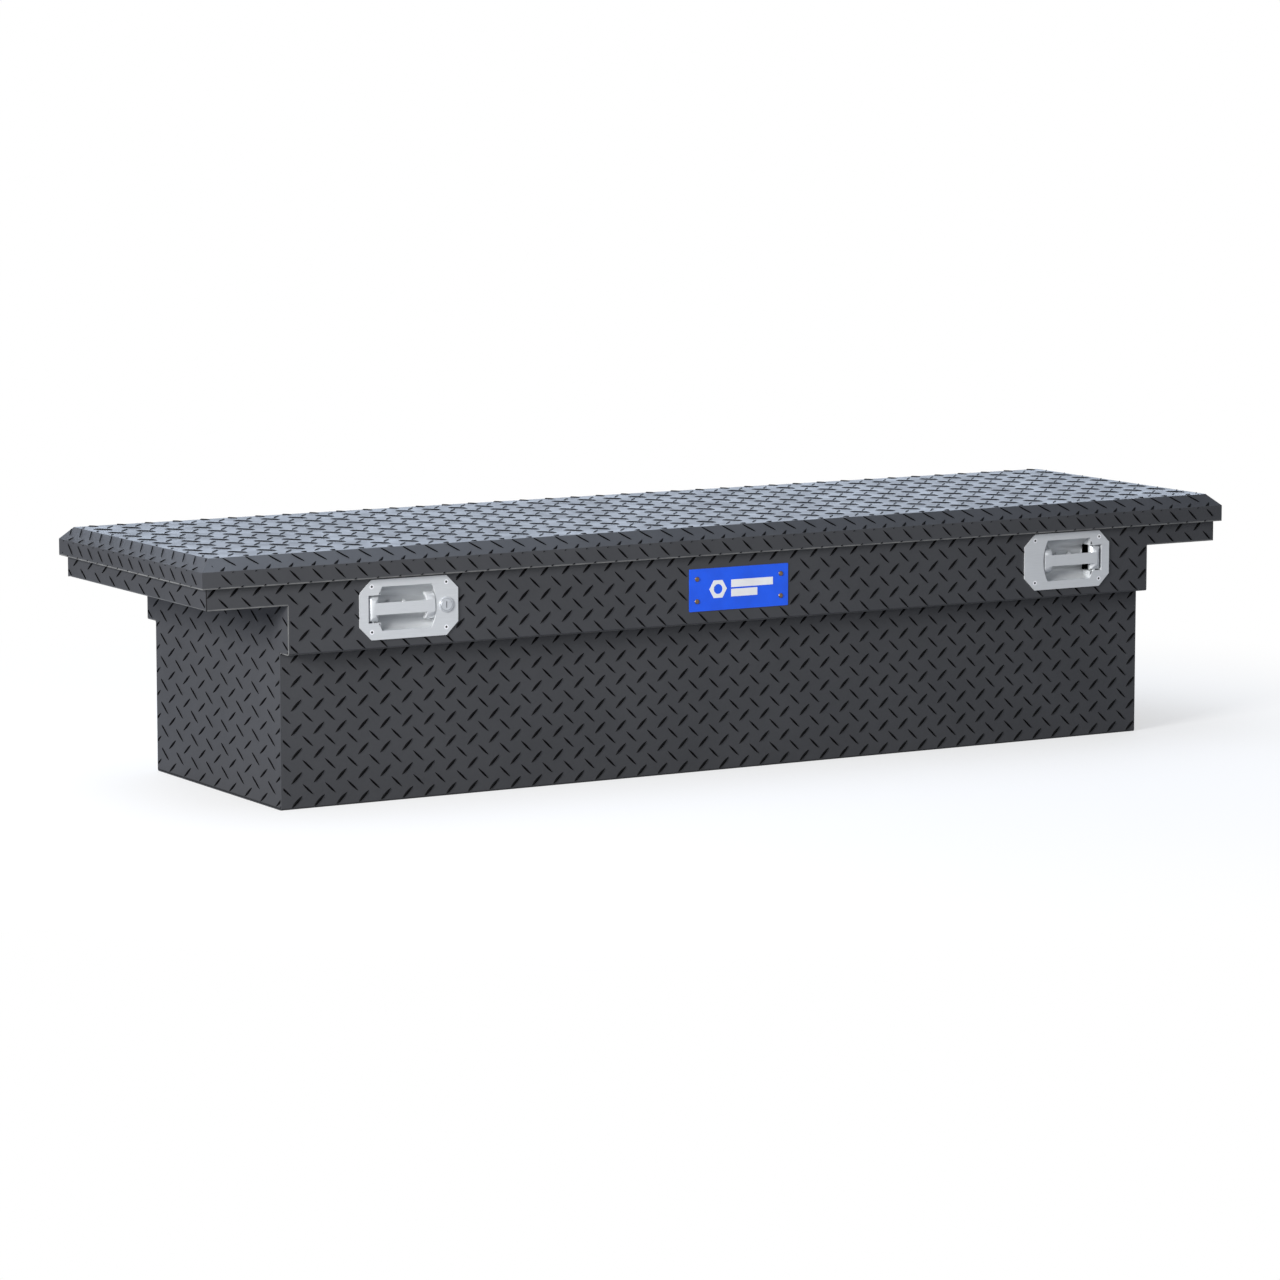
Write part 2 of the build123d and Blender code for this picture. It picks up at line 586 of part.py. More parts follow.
def lever_section(x, inset):
    """The lever's section: flat over the bar, then rounded back above and below it."""
    front = FRONT + LEVER_PIVOT_D - HUB_R + inset
    back = FRONT + LEVER_PIVOT_D + HUB_R + 1
    shoulder, knee = FRONT + 8.5 + inset / 2, front + 2.4
    top, bar = HUB_TOP - inset, BAR_TOP - inset / 2
    bend = (bar + top) / 2 + 1.6
    with BuildSketch(across(x)) as section:
        with BuildLine():
            ThreePointArc((shoulder, HANDLE_Z - top), (knee, HANDLE_Z - bend), (front, HANDLE_Z - bar))
            Line((front, HANDLE_Z - bar), (front, HANDLE_Z + bar))
            ThreePointArc((front, HANDLE_Z + bar), (knee, HANDLE_Z + bend), (shoulder, HANDLE_Z + top))
            Polyline(
                (shoulder, HANDLE_Z + top),
                (back, HANDLE_Z + top),
                (back, HANDLE_Z - top),
                (shoulder, HANDLE_Z - top),
            )
        make_face()
    return section.sketch


half, rise, cut = PLATE_LENGTH / 2, PLATE_HEIGHT / 2, PLATE_CHAMFER
octagon = [
    (-half, PLATE_DROP - rise + cut),
    (-half + cut, PLATE_DROP - rise),
    (half - cut, PLATE_DROP - rise),
    (half, PLATE_DROP - rise + cut),
    (half, PLATE_DROP + rise - cut),
    (half - cut, PLATE_DROP + rise),
    (-half + cut, PLATE_DROP + rise),
    (-half, PLATE_DROP + rise - cut),
]

pin_bore = (HANDLE_Z - SLOT_TOP - 2 * DISH_SHEET, HANDLE_Z + SLOT_TOP + 2 * DISH_SHEET)
for name, (centre, hand) in HANDLES.items():
    pivot = (centre + hand * LEVER_PIVOT_U, FRONT + LEVER_PIVOT_D)
    with BuildPart() as handle_plate:
        dish_form(centre, hand, DISH_R + DISH_SHEET, DISH_SPAN, Mode.ADD)
        slot_outside = (-SLOT_TOP - DISH_SHEET, SLOT_TOP + DISH_SHEET)
        slot_inside = (-SLOT_TOP, SLOT_TOP)
        behind = (-OVER, HOUSING_DEPTH + OVER)
        exit_depth = (HOUSING_LIP, HOUSING_DEPTH + OVER)
        handle_box(centre, hand, SLOT_HOUSING, (0, HOUSING_DEPTH), slot_outside)
        inner_span = (DISH_SPAN[0] + DISH_SHEET, DISH_SPAN[1] - DISH_SHEET)
        dish_form(centre, hand, DISH_R, inner_span, Mode.SUBTRACT)
        handle_box(centre, hand, HUB_SLOT, behind, slot_inside, mode=Mode.SUBTRACT)
        handle_box(centre, hand, HOUSING_EXIT, exit_depth, slot_inside, mode=Mode.SUBTRACT)
        with BuildSketch(facing(-PLATE)):
            with BuildLine():
                Polyline(*handle_points(centre, hand, octagon), close=True)
            make_face()
            handle_holes(name, centre, hand)
        extrude(amount=-PLATE)
        with BuildSketch(facing(-PLATE - OVER)):
            opening_outline(centre, hand)
            handle_holes(name, centre, hand)
        extrude(amount=-PLATE - OVER, mode=Mode.SUBTRACT)
        for x, z in handle_points(centre, hand, SCREW_PLACES):
            with Locations(Location((x, FRONT - PLATE + SCREW_HEAD / 2, z), (90, 0, 0))):
                Cone(SCREW_R + SLIP, SCREW_HEAD_R + SLIP, SCREW_HEAD, mode=Mode.SUBTRACT)
        rod_z(*pivot, pin_bore, LEVER_PIN_R + SLIP, mode=Mode.SUBTRACT)
        for u in DISH_STUDS:
            stud_y = FRONT + DISH_DEPTH - DISH_STUD_BACK
            with Locations((centre + hand * u, stud_y, HANDLE_Z + DISH_STUD_RISE)):
                Sphere(DISH_STUD_R)
    save(handle_plate.part, f"handle_plate_{name}")

    tip = (pivot[0] + hand * HEEL_U, pivot[1] + HEEL_D)
    heel_middle = (pivot[0] + hand * HEEL_U / 2, pivot[1] + HEEL_D / 2)
    ear = (LEVER_END_U - EAR, LEVER_END_U)
    ear_start = min(centre + hand * u for u in ear) - OVER
    bar_front = LEVER_PIVOT_D - HUB_R
    bar_depth = (bar_front, bar_front + LEVER_SHEET)
    with BuildPart() as lever:
        rod_z(*pivot, (HANDLE_Z - HUB_TOP, HANDLE_Z + HUB_TOP), HUB_R)
        handle_box(centre, hand, ear, EAR_DEPTH, (-HUB_TOP, HUB_TOP))
        extrude(lever_section(centre - PLATE_LENGTH, 0), amount=2 * PLATE_LENGTH, mode=Mode.INTERSECT)
        extrude(lever_section(ear_start, LEVER_SHEET), amount=EAR + 2 * OVER, mode=Mode.SUBTRACT)
        handle_box(centre, hand, (LEVER_PIVOT_U, LEVER_END_U), bar_depth, (-BAR_TOP, BAR_TOP))
        with BuildSketch(Plane.XY.offset(HANDLE_Z + HEEL_FOOT)):
            SlotCenterPoint(heel_middle, tip, 2 * HEEL_R)
        extrude(amount=HEEL_TOP - HEEL_FOOT)
        rod_z(*pivot, pin_bore, LEVER_PIN_R + SLIP, mode=Mode.SUBTRACT)
    save(lever.part, f"lever_{name}")

with BuildPart() as lever_pins:
    for centre, hand in HANDLES.values():
        pivot = (centre + hand * LEVER_PIVOT_U, FRONT + LEVER_PIVOT_D)
        pin_z = (pin_bore[0], HANDLE_Z + SLOT_TOP + LEVER_PIN_RISE)
        rod_z(*pivot, pin_z, LEVER_PIN_R)
save(lever_pins.part, "lever_pins")

with BuildPart() as lever_springs:
    coil_foot = HANDLE_Z + SLOT_TOP + DISH_SHEET + 1
    for centre, hand in HANDLES.values():
        pivot = (centre + hand * LEVER_PIVOT_U, FRONT + LEVER_PIVOT_D)
        for turn in range(COILS):
            with Locations((*pivot, coil_foot + COIL_PITCH * turn)):
                Torus(COIL_R, WIRE_R)
save(lever_springs.part, "lever_springs")

with BuildPart() as handle_screws:
    for centre, hand in HANDLES.values():
        for x, z in handle_points(centre, hand, SCREW_PLACES):
            with Locations(Location((x, FRONT - PLATE + SCREW_HEAD / 2, z), (90, 0, 0))):
                Cone(SCREW_R, SCREW_HEAD_R, SCREW_HEAD)
            rod_y(x, (FRONT - PLATE + 1, FRONT + SCREW_TIP), z, SCREW_R)
            socket_y = (FRONT - PLATE - OVER, FRONT - PLATE + SCREW_SOCKET)
            rod_y(x, socket_y, z, SCREW_SOCKET_R, mode=Mode.SUBTRACT)
save(handle_screws.part, "handle_screws")

with BuildPart() as handle_nuts:
    with BuildSketch(facing(SHEET)):
        for centre, hand in HANDLES.values():
            with Locations(*handle_points(centre, hand, SCREW_PLACES)):
                RegularPolygon(NUT_R, 6)
                Circle(SCREW_R + SLIP, mode=Mode.SUBTRACT)
    extrude(amount=-NUT)
save(handle_nuts.part, "handle_nuts")

# ---------------------------------------------------------------- lock in the left handle
LOCK_X = HANDLES["left"][0] + LOCK_U
PLATE_FRONT = FRONT - PLATE
with BuildPart() as lock_housing:
    rod_y(LOCK_X, (PLATE_FRONT - BEZEL, PLATE_FRONT), HANDLE_Z, BEZEL_R)
    fillet(lock_housing.edges().group_by(Axis.Y)[0], radius=BEZEL_ROUND)
    rod_y(LOCK_X, (PLATE_FRONT, FRONT + LOCK_BODY), HANDLE_Z, LOCK_R)
    bore_y = (PLATE_FRONT - BEZEL - OVER, FRONT + LOCK_BODY + OVER)
    rod_y(LOCK_X, bore_y, HANDLE_Z, PLUG_R + 2 * SLIP, mode=Mode.SUBTRACT)
    bezel_y = (PLATE_FRONT - BEZEL - OVER, PLATE_FRONT)
    rod_y(LOCK_X, bezel_y, HANDLE_Z, LOCK_R - BEZEL_WALL, mode=Mode.SUBTRACT)
save(lock_housing.part, "lock_housing")

with BuildPart() as lock_nut:
    with BuildSketch(facing(SHEET)):
        with Locations((LOCK_X, HANDLE_Z)):
            RegularPolygon(LOCK_NUT_R, 6)
            Circle(LOCK_R + SLIP, mode=Mode.SUBTRACT)
    extrude(amount=-LOCK_NUT)
save(lock_nut.part, "lock_nut")

with BuildPart() as lock_plug:
    face_front, face_back = [PLATE_FRONT - gap for gap in PLUG_FACE]
    rod_y(LOCK_X, (face_front, face_back), HANDLE_Z, PLUG_FACE_R)
    fillet(lock_plug.edges().group_by(Axis.Y)[0], radius=PLUG_ROUND)
    stem_foot = FRONT + CAM_D - PLUG_FACE[1]
    rod_y(LOCK_X, (face_back, stem_foot), HANDLE_Z, PLUG_R)
    rod_y(LOCK_X, (stem_foot, FRONT + CAM_D + CAM_STEM_END), HANDLE_Z, CAM_STEM_R)
    block(
        (LOCK_X - KEYWAY_HALF, LOCK_X + KEYWAY_HALF),
        (face_front - OVER, FRONT + KEYWAY_DEPTH),
        (HANDLE_Z - KEYWAY_RISE, HANDLE_Z + KEYWAY_RISE),
        mode=Mode.SUBTRACT,
    )
save(lock_plug.part, "lock_plug")

with BuildPart() as lock_cam:
    with BuildSketch(facing(CAM_D)):
        with Locations((LOCK_X, HANDLE_Z)):
            Circle(CAM_HUB_R)
        with Locations((LOCK_X + (CAM_TIP - CAM_TAIL) / 2, HANDLE_Z)):
            Rectangle(CAM_TIP + CAM_TAIL, CAM_WIDTH)
        with Locations((LOCK_X, HANDLE_Z)):
            Circle(CAM_STEM_R + SLIP, mode=Mode.SUBTRACT)
    extrude(amount=-CAM)
save(lock_cam.part, "lock_cam")

with BuildPart() as lock_cam_nut:
    with BuildSketch(facing(CAM_D + CAM)):
        with Locations((LOCK_X, HANDLE_Z)):
            RegularPolygon(CAM_NUT_R, 6)
            Circle(CAM_STEM_R + SLIP, mode=Mode.SUBTRACT)
    extrude(amount=-CAM_NUT)
save(lock_cam_nut.part, "lock_cam_nut")

# ---------------------------------------------------------------- nameplate
with BuildPart() as nameplate:
    with BuildSketch(facing(-BADGE)):
        with Locations((BADGE_X, BADGE_Z)):
            RectangleRounded(BADGE_LENGTH, BADGE_HEIGHT, BADGE_CORNER)
            with GridLocations(2 * BADGE_RIVET_X, 2 * BADGE_RIVET_Z, 2, 2):
                Circle(RIVET_R + SLIP, mode=Mode.SUBTRACT)
    extrude(amount=-BADGE)
save(nameplate.part, "nameplate")

with BuildPart() as nameplate_rivets:
    for x in (BADGE_X - BADGE_RIVET_X, BADGE_X + BADGE_RIVET_X):
        for z in (BADGE_Z - BADGE_RIVET_Z, BADGE_Z + BADGE_RIVET_Z):
            rod_y(x, (FRONT - BADGE - BADGE_RIVET_HEAD, FRONT - BADGE), z, BADGE_RIVET_HEAD_R)
            rod_y(x, (FRONT - BADGE, FRONT + SHEET), z, RIVET_R)
            rod_y(x, (FRONT + SHEET, FRONT + SHEET + RIVET_TAIL), z, RIVET_TAIL_R)
    fillet(nameplate_rivets.edges().group_by(Axis.Y)[0], radius=1)
save(nameplate_rivets.part, "nameplate_rivets")

# ---------------------------------------------------------------- latch
CHEEK_HALF, CHEEK_END, CHEEK_CORNER = 12.0, 49.0, 9.0
HANGER_X, HANGER_FOOT = 0.0, 22.0
CLIP, CLIP_R = 1.2, 8.0
BUSH_HEAD, BUSH_HEAD_R = 1.0, 9.5
COLLAR_R = 9.0
claws = {name: centre + hand * CLAW_U for name, (centre, hand) in HANDLES.items()}
cheek_reaches = (-CHEEK_GAP - CHEEK, CHEEK_GAP)
cheeks = [HANGER_X] + [x + reach for x in claws.values() for reach in cheek_reaches]
cheek_z = (SHAFT_Z - CHEEK_HALF, SHAFT_Z + CHEEK_HALF)


def cheek(x):
    """An upright cheek behind the front sheet with the hole for a bush."""
    block((x, x + CHEEK), (INSIDE_FRONT, FRONT + CHEEK_END), cheek_z)
    fillet(edges(Select.LAST).filter_by(Axis.X).sort_by(Axis.Y)[-2:], radius=CHEEK_CORNER)
    rod_x((x - OVER, x + CHEEK + OVER), SHAFT_Y, SHAFT_Z, BUSH_R + SLIP, mode=Mode.SUBTRACT)


for name, x in claws.items():
    with BuildPart() as latch_frame:
        for reach in cheek_reaches:
            cheek(x + reach)
        outer = CHEEK_GAP + CHEEK
        block((x - outer, x + outer), (INSIDE_FRONT, INSIDE_FRONT + CHEEK), cheek_z)
    save(latch_frame.part, f"latch_frame_{name}")

with BuildPart() as shaft_hanger:
    cheek(HANGER_X)
    block((HANGER_X, HANGER_X + HANGER_FOOT), (INSIDE_FRONT, INSIDE_FRONT + CHEEK), cheek_z)
save(shaft_hanger.part, "shaft_hanger")

with BuildPart() as shaft_bushes:
    for x in cheeks:
        rod_x((x, x + CHEEK), SHAFT_Y, SHAFT_Z, BUSH_R)
        rod_x((x - BUSH_HEAD, x), SHAFT_Y, SHAFT_Z, BUSH_HEAD_R)
        bore_x = (x - BUSH_HEAD - OVER, x + CHEEK + OVER)
        rod_x(bore_x, SHAFT_Y, SHAFT_Z, SHAFT_R + SLIP, mode=Mode.SUBTRACT)
save(shaft_bushes.part, "shaft_bushes")

with BuildPart() as release_shaft:
    rod_x((SHAFT_LEFT, SHAFT_RIGHT), SHAFT_Y, SHAFT_Z, SHAFT_R)
    chamfer(release_shaft.edges().filter_by(GeomType.CIRCLE), length=1)
save(release_shaft.part, "release_shaft")

with BuildPart() as shaft_clips:
    for x in (SHAFT_LEFT + CLIP, SHAFT_RIGHT - 2 * CLIP):
        rod_x((x, x + CLIP), SHAFT_Y, SHAFT_Z, CLIP_R)
        rod_x((x - OVER, x + CLIP + OVER), SHAFT_Y, SHAFT_Z, SHAFT_R + SLIP, mode=Mode.SUBTRACT)
save(shaft_clips.part, "shaft_clips")


def crank(x, angle, thick, width, length):
    """A collar on the release shaft with an arm of a given width along x."""
    rod_x((x, x + width), SHAFT_Y, SHAFT_Z, COLLAR_R)
    with BuildSketch(turned(x, angle)) as arm:
        with Locations((sum(thick) / 2, length / 2)):
            Rectangle(thick[1] - thick[0], length)
    extrude(arm.sketch, amount=width)
    rod_x((x - OVER, x + width + OVER), SHAFT_Y, SHAFT_Z, SHAFT_R + SLIP, mode=Mode.SUBTRACT)


CRANK_ANGLE = 180 - CRANK_LEAN
DOG_ANGLE = 63.0
LUG_ANGLE = 90.0
CRANK_FACES = (-1, 2)  # faces of a crank's arm, behind and before the line from the shaft
CLAW_HUB_R = 10.0
CLAW_OUTLINE = [(-5, 0), (-5, 27.8), (-2, 30.2), (9.5, 25.2), (9.5, 22.4), (1.4, 22.4), (1.4, 0)]
CLAW_LUG, CLAW_LUG_RISE, CLAW_LUG_REACH = 4.6, (8.0, 14.0), 6.0
CLAW_PEG_RISE = (10.0, 14.0)  # the part of the lug that stands out beside the dog
LOCK_CRANK_WIDTH, LOCK_CRANK_REACH = 16, 25
HEEL_CRANK_U, HEEL_CRANK_WIDTH, HEEL_CRANK_REACH = -86, 20, 34
DOG_GAP, DOG_FACES, DOG_WIDTH, DOG_REACH = 0.4, (-2, 2), 6, 13.5


def claw_lug(x, rise, reach):
    """A lug on a claw between two heights over the shaft, reaching along X."""
    with BuildSketch(turned(x, CLAW_OPEN + LUG_ANGLE)) as lug:
        with Locations((0, sum(rise) / 2)):
            Rectangle(CLAW_LUG, rise[1] - rise[0])
    extrude(lug.sketch, amount=reach)



with BuildPart() as lock_crank:
    crank(LOCK_X - LOCK_CRANK_WIDTH / 2, CRANK_ANGLE, CRANK_FACES, LOCK_CRANK_WIDTH, LOCK_CRANK_REACH)
save(lock_crank.part, "lock_crank")

for name, (centre, hand) in HANDLES.items():
    near = centre + hand * HEEL_CRANK_U
    with BuildPart() as heel_crank:
        crank(
            min(near, near + hand * HEEL_CRANK_WIDTH),
            CRANK_ANGLE,
            CRANK_FACES,
            HEEL_CRANK_WIDTH,
            HEEL_CRANK_REACH,
        )
    save(heel_crank.part, f"heel_crank_{name}")

    claw_x = claws[name]
    dog_x = claw_x + hand * (CLAW_THICK / 2 + DOG_GAP)
    with BuildPart() as dog:
        crank(min(dog_x, dog_x + hand * DOG_WIDTH), DOG_ANGLE, DOG_FACES, DOG_WIDTH, DOG_REACH)
    save(dog.part, f"release_dog_{name}")

    with BuildPart() as latch_claw:
        with BuildSketch(turned(claw_x - CLAW_THICK / 2, CLAW_OPEN)):
            Circle(CLAW_HUB_R)
            with BuildLine():
                Polyline(*CLAW_OUTLINE, close=True)
            make_face()
        extrude(amount=CLAW_THICK)
        claw_lug(claw_x - CLAW_THICK / 2, CLAW_LUG_RISE, CLAW_THICK)
        claw_lug(claw_x + hand * CLAW_THICK / 2, CLAW_PEG_RISE, hand * CLAW_LUG_REACH)
        bore_x = (claw_x - CLAW_THICK, claw_x + CLAW_THICK)
        rod_x(bore_x, SHAFT_Y, SHAFT_Z, SHAFT_R + 2 * SLIP, mode=Mode.SUBTRACT)
    save(latch_claw.part, f"latch_claw_{name}")

    bar_y = FRONT + STRIKER_D
    plate_z = (PAN_FOOT - STRIKER_PLATE, PAN_FOOT)
    with BuildPart() as striker:
        block(
            (claw_x - STRIKER_PLATE_HALF, claw_x + STRIKER_PLATE_HALF),
            (bar_y - STRIKER_PLATE_DEPTH, bar_y + STRIKER_PLATE_DEPTH),
            plate_z,
        )
        for x in (claw_x - STRIKER_HALF, claw_x + STRIKER_HALF):
            rod_z(x, bar_y, (STRIKER_Z, PAN_FOOT - 1), STRIKER_R)
            with Locations((x, bar_y, STRIKER_Z)):
                Sphere(STRIKER_R)
        bar_x = (claw_x - STRIKER_HALF, claw_x + STRIKER_HALF)
        rod_x(bar_x, bar_y, STRIKER_Z, STRIKER_R)
        hole_z = (PAN_FOOT - STRIKER_PLATE - OVER, PAN_FOOT + OVER)
        for x in (claw_x - STRIKER_SCREW, claw_x + STRIKER_SCREW):
            rod_z(x, bar_y, hole_z, STRIKER_SCREW_R + SLIP, mode=Mode.SUBTRACT)
    save(striker.part, f"striker_{name}")

with BuildPart() as striker_screws:
    for claw_x in claws.values():
        for x in (claw_x - STRIKER_SCREW, claw_x + STRIKER_SCREW):
            rod_z(x, FRONT + STRIKER_D, plate_z, STRIKER_SCREW_R)
            head_z = (plate_z[0] - STRIKER_SCREW_R, plate_z[0])
            rod_z(x, FRONT + STRIKER_D, head_z, STRIKER_SCREW_HEAD_R)
save(striker_screws.part, "striker_screws")
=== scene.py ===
"""Looks of the truck tool box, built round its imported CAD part.

Metres, X across the truck, +Y to the rear, +Z up.
"""
import json
import math
import bmesh
import bpy
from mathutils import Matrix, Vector


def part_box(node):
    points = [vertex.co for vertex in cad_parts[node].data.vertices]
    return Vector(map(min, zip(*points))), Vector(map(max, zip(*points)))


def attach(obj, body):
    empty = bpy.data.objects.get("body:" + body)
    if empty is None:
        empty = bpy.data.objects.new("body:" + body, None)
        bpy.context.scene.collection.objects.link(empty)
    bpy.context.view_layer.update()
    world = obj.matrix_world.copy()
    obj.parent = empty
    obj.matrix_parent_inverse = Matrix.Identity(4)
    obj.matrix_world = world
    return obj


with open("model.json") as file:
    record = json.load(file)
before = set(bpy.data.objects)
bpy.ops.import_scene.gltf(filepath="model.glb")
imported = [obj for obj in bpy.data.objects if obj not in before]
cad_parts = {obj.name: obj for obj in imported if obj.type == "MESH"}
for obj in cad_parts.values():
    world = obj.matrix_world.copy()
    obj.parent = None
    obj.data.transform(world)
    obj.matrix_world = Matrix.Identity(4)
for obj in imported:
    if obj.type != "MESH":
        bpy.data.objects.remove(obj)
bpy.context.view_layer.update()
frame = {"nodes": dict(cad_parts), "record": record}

X, Y, Z = Vector((1, 0, 0)), Vector((0, 1, 0)), Vector((0, 0, 1))
MM = 0.001
BEND = 3.2 * MM  # lugs stop here before a folded edge
LUG_SINK = 0.3 * MM  # how far a lug's foot is let into its sheet
LUG_HEIGHT = 1.5 * MM
FALLING_SLIM = 0.7  # the falling lugs are rolled narrower than the rising ones
HIGHLIGHT_BAND = 0.9 * MM  # half width of the painted highlight line along a folded edge of the sheet


# ---------------------------------------------------------------- places read from the frame
wrap = [vertex.co for vertex in frame["nodes"]["tub_wrap"].data.vertices]
skin = [vertex.co for vertex in frame["nodes"]["lid_skin"].data.vertices]
wrap_low, wrap_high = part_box("tub_wrap")
skin_low, skin_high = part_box("lid_skin")

lower = [p for p in wrap if p.z < wrap_high.z / 2]
stem = max(p.x for p in lower)  # half length of the tub between the wings
lower_front, lower_rear = min(p.y for p in lower), max(p.y for p in lower)
ledge = min(p.z for p in wrap if p.y < lower_front - MM)
wing_foot = min(p.z for p in wrap if abs(p.x) > stem + MM)
wing = wrap_high.x
rim = wrap_high.z

lid_top = [p for p in skin if p.z > skin_high.z - 0.1 * MM]
top_half = max(p.x for p in lid_top)
top_front, top_rear = min(p.y for p in lid_top), max(p.y for p in lid_top)
bevel_foot = max(p.z for p in skin if p.y < skin_low.y + 0.05 * MM)


# ---------------------------------------------------------------- materials
class Graph:
    """A material whose principled shader is wired from a few procedural sources."""

    def __init__(self, name, rough, metal=0.0, coat=0.0, coat_rough=0.1, sheen=0.0, shine=0.5):
        self.material = bpy.data.materials.new(name)
        self.material.use_nodes = True
        self.nodes = self.material.node_tree.nodes
        self.links = self.material.node_tree.links
        self.shader = self.nodes["Principled BSDF"]
        self.shader.inputs["Roughness"].default_value = rough
        self.shader.inputs["Metallic"].default_value = metal
        self.shader.inputs["Coat Weight"].default_value = coat
        self.shader.inputs["Coat Roughness"].default_value = coat_rough
        self.shader.inputs["Sheen Weight"].default_value = sheen
        self.shader.inputs["Specular IOR Level"].default_value = shine
        self.place = self.nodes.new("ShaderNodeTexCoord").outputs["Object"]
        self.normal = None

    def noise(self, scale, detail=4.0, stretch=(1, 1, 1), rough=0.55):
        """Noise in the object's own metres, stretched along an axis where its factor is small."""
        mapping = self.nodes.new("ShaderNodeMapping")
        mapping.inputs["Scale"].default_value = stretch
        self.links.new(self.place, mapping.inputs["Vector"])
        node = self.nodes.new("ShaderNodeTexNoise")
        node.inputs["Scale"].default_value = scale
        node.inputs["Detail"].default_value = detail
        node.inputs["Roughness"].default_value = rough
        self.links.new(mapping.outputs["Vector"], node.inputs["Vector"])
        return node.outputs["Fac"]

    def cells(self, scale):
        """Distance to the nearest of many scattered points."""
        node = self.nodes.new("ShaderNodeTexVoronoi")
        node.inputs["Scale"].default_value = scale
        self.links.new(self.place, node.inputs["Vector"])
        return node.outputs["Distance"]

    def ramp(self, source, *stops):
        """A colour ramp: stops are (position, colour)."""
        node = self.nodes.new("ShaderNodeValToRGB")
        elements = node.color_ramp.elements
        while len(elements) < len(stops):
            elements.new(0.5)
        for element, (position, colour) in zip(elements, stops):
            element.position = position
            element.color = (*colour, 1)
        self.links.new(source, node.inputs["Fac"])
        return node.outputs["Color"]

    def span(self, source, low, high):
        """The source's middle range spread from low to high."""
        node = self.nodes.new("ShaderNodeMapRange")
        node.inputs["From Min"].default_value = 0.3
        node.inputs["From Max"].default_value = 0.7
        node.inputs["To Min"].default_value = low
        node.inputs["To Max"].default_value = high
        self.links.new(source, node.inputs["Value"])
        return node.outputs["Result"]

    def coordinate(self, axis):
        """The place along an axis, and for X the distance from the middle."""
        split = self.nodes.new("ShaderNodeSeparateXYZ")
        self.links.new(self.place, split.inputs[0])
        value = split.outputs[axis]
        return self.math("ABSOLUTE", value) if axis == "X" else value

    def line(self, axis, place, other, low, high):
        """1 along a painted highlight line at a place on one axis, within limits on another, else 0."""
        near = self.math("ABSOLUTE", self.math("SUBTRACT", self.coordinate(axis), place))
        on_line = self.math("LESS_THAN", near, HIGHLIGHT_BAND)
        run = self.coordinate(other)
        above, below = self.math("GREATER_THAN", run, low), self.math("LESS_THAN", run, high)
        return self.math("MULTIPLY", on_line, self.math("MULTIPLY", above, below))

    def math(self, operation, first, second=0.0):
        """A math node over a source and a source or number."""
        node = self.nodes.new("ShaderNodeMath")
        node.operation = operation
        self.links.new(first, node.inputs[0])
        if isinstance(second, float):
            node.inputs[1].default_value = second
        else:
            self.links.new(second, node.inputs[1])
        return node.outputs["Value"]

    def blend(self, factor, first, second):
        """The first colour, turning into the fixed second one where the factor is 1."""
        node = self.nodes.new("ShaderNodeMix")
        node.data_type = "RGBA"
        self.links.new(factor, node.inputs["Factor"])
        self.links.new(first, node.inputs["A"])
        node.inputs["B"].default_value = (*second, 1)
        return node.outputs["Result"]

    def colour(self, source):
        self.links.new(source, self.shader.inputs["Base Color"])

    def roughness(self, source):
        self.links.new(source, self.shader.inputs["Roughness"])

    def bump(self, source, height):
        """Adds a relief of a height in metres over those already there."""
        node = self.nodes.new("ShaderNodeBump")
        node.inputs["Strength"].default_value = 1.0
        node.inputs["Distance"].default_value = height
        self.links.new(source, node.inputs["Height"])
        if self.normal:
            self.links.new(self.normal, node.inputs["Normal"])
        self.normal = node.outputs["Normal"]
        self.links.new(self.normal, self.shader.inputs["Normal"])


def powder_coat(name, dark, light, rough, wear_and_highlight=(), shine=0.5):
    """Matt powder coat: fine orange peel, slow changes of tone, and painted highlight lines along some
    folded edges.
    """
    g = Graph(name, rough, shine=shine)
    paint = g.ramp(g.noise(9, 5), (0.3, dark), (0.7, light))
    patchy = g.span(g.noise(40, 4), 0.35, 1.0)
    # each line is a painted highlight along a folded edge, lighter in patches
    for edge in wear_and_highlight:
        highlit = g.math("MULTIPLY", g.line(*edge), patchy)
        paint = g.blend(highlit, paint, EDGE_HIGHLIGHT)
    g.colour(paint)
    g.roughness(g.span(g.noise(23, 3), rough - 0.05, rough + 0.05))
    g.bump(g.noise(900, 2), 0.03 * MM)
    return g.material


def brushed(name, dark, light, rough, metal=1.0):
    """Brushed metal whose fine scratches run along X."""
    g = Graph(name, rough, metal=metal)
    lines = g.noise(2600, 3, (0.02, 1, 1))
    g.colour(g.ramp(lines, (0.3, dark), (0.7, light)))
    g.roughness(g.span(g.noise(60, 4), rough - 0.06, rough + 0.06))
    g.bump(lines, 0.01 * MM)
    return g.material


def plated(name, dark, light, rough):
    """Zinc plating: a faint cloudy spangle."""
    g = Graph(name, rough, metal=1.0)
    g.colour(g.ramp(g.noise(120, 6), (0.3, dark), (0.7, light)))
    g.roughness(g.span(g.cells(400), rough - 0.05, rough + 0.12))
    g.bump(g.noise(700, 3), 0.01 * MM)
    return g.material


def polished(name, tint, rough):
    """Chrome with the faintest of wipe marks."""
    g = Graph(name, rough, metal=1.0)
    wear_and_highlight = tuple(c * 0.9 for c in tint)
    g.colour(g.ramp(g.noise(40, 5), (0.35, wear_and_highlight), (0.65, tint)))
    g.roughness(g.span(g.noise(300, 5, (1, 0.1, 1)), rough, rough + 0.08))
    return g.material


def enamel(name, dark, light, rough):
    """Printed enamel over a smooth plate."""
    g = Graph(name, rough, coat=0.15, coat_rough=0.25)
    g.colour(g.ramp(g.noise(30, 4), (0.35, dark), (0.65, light)))
    g.roughness(g.span(g.noise(90, 3), rough - 0.04, rough + 0.06))
    g.bump(g.noise(800, 2), 0.01 * MM)
    return g.material


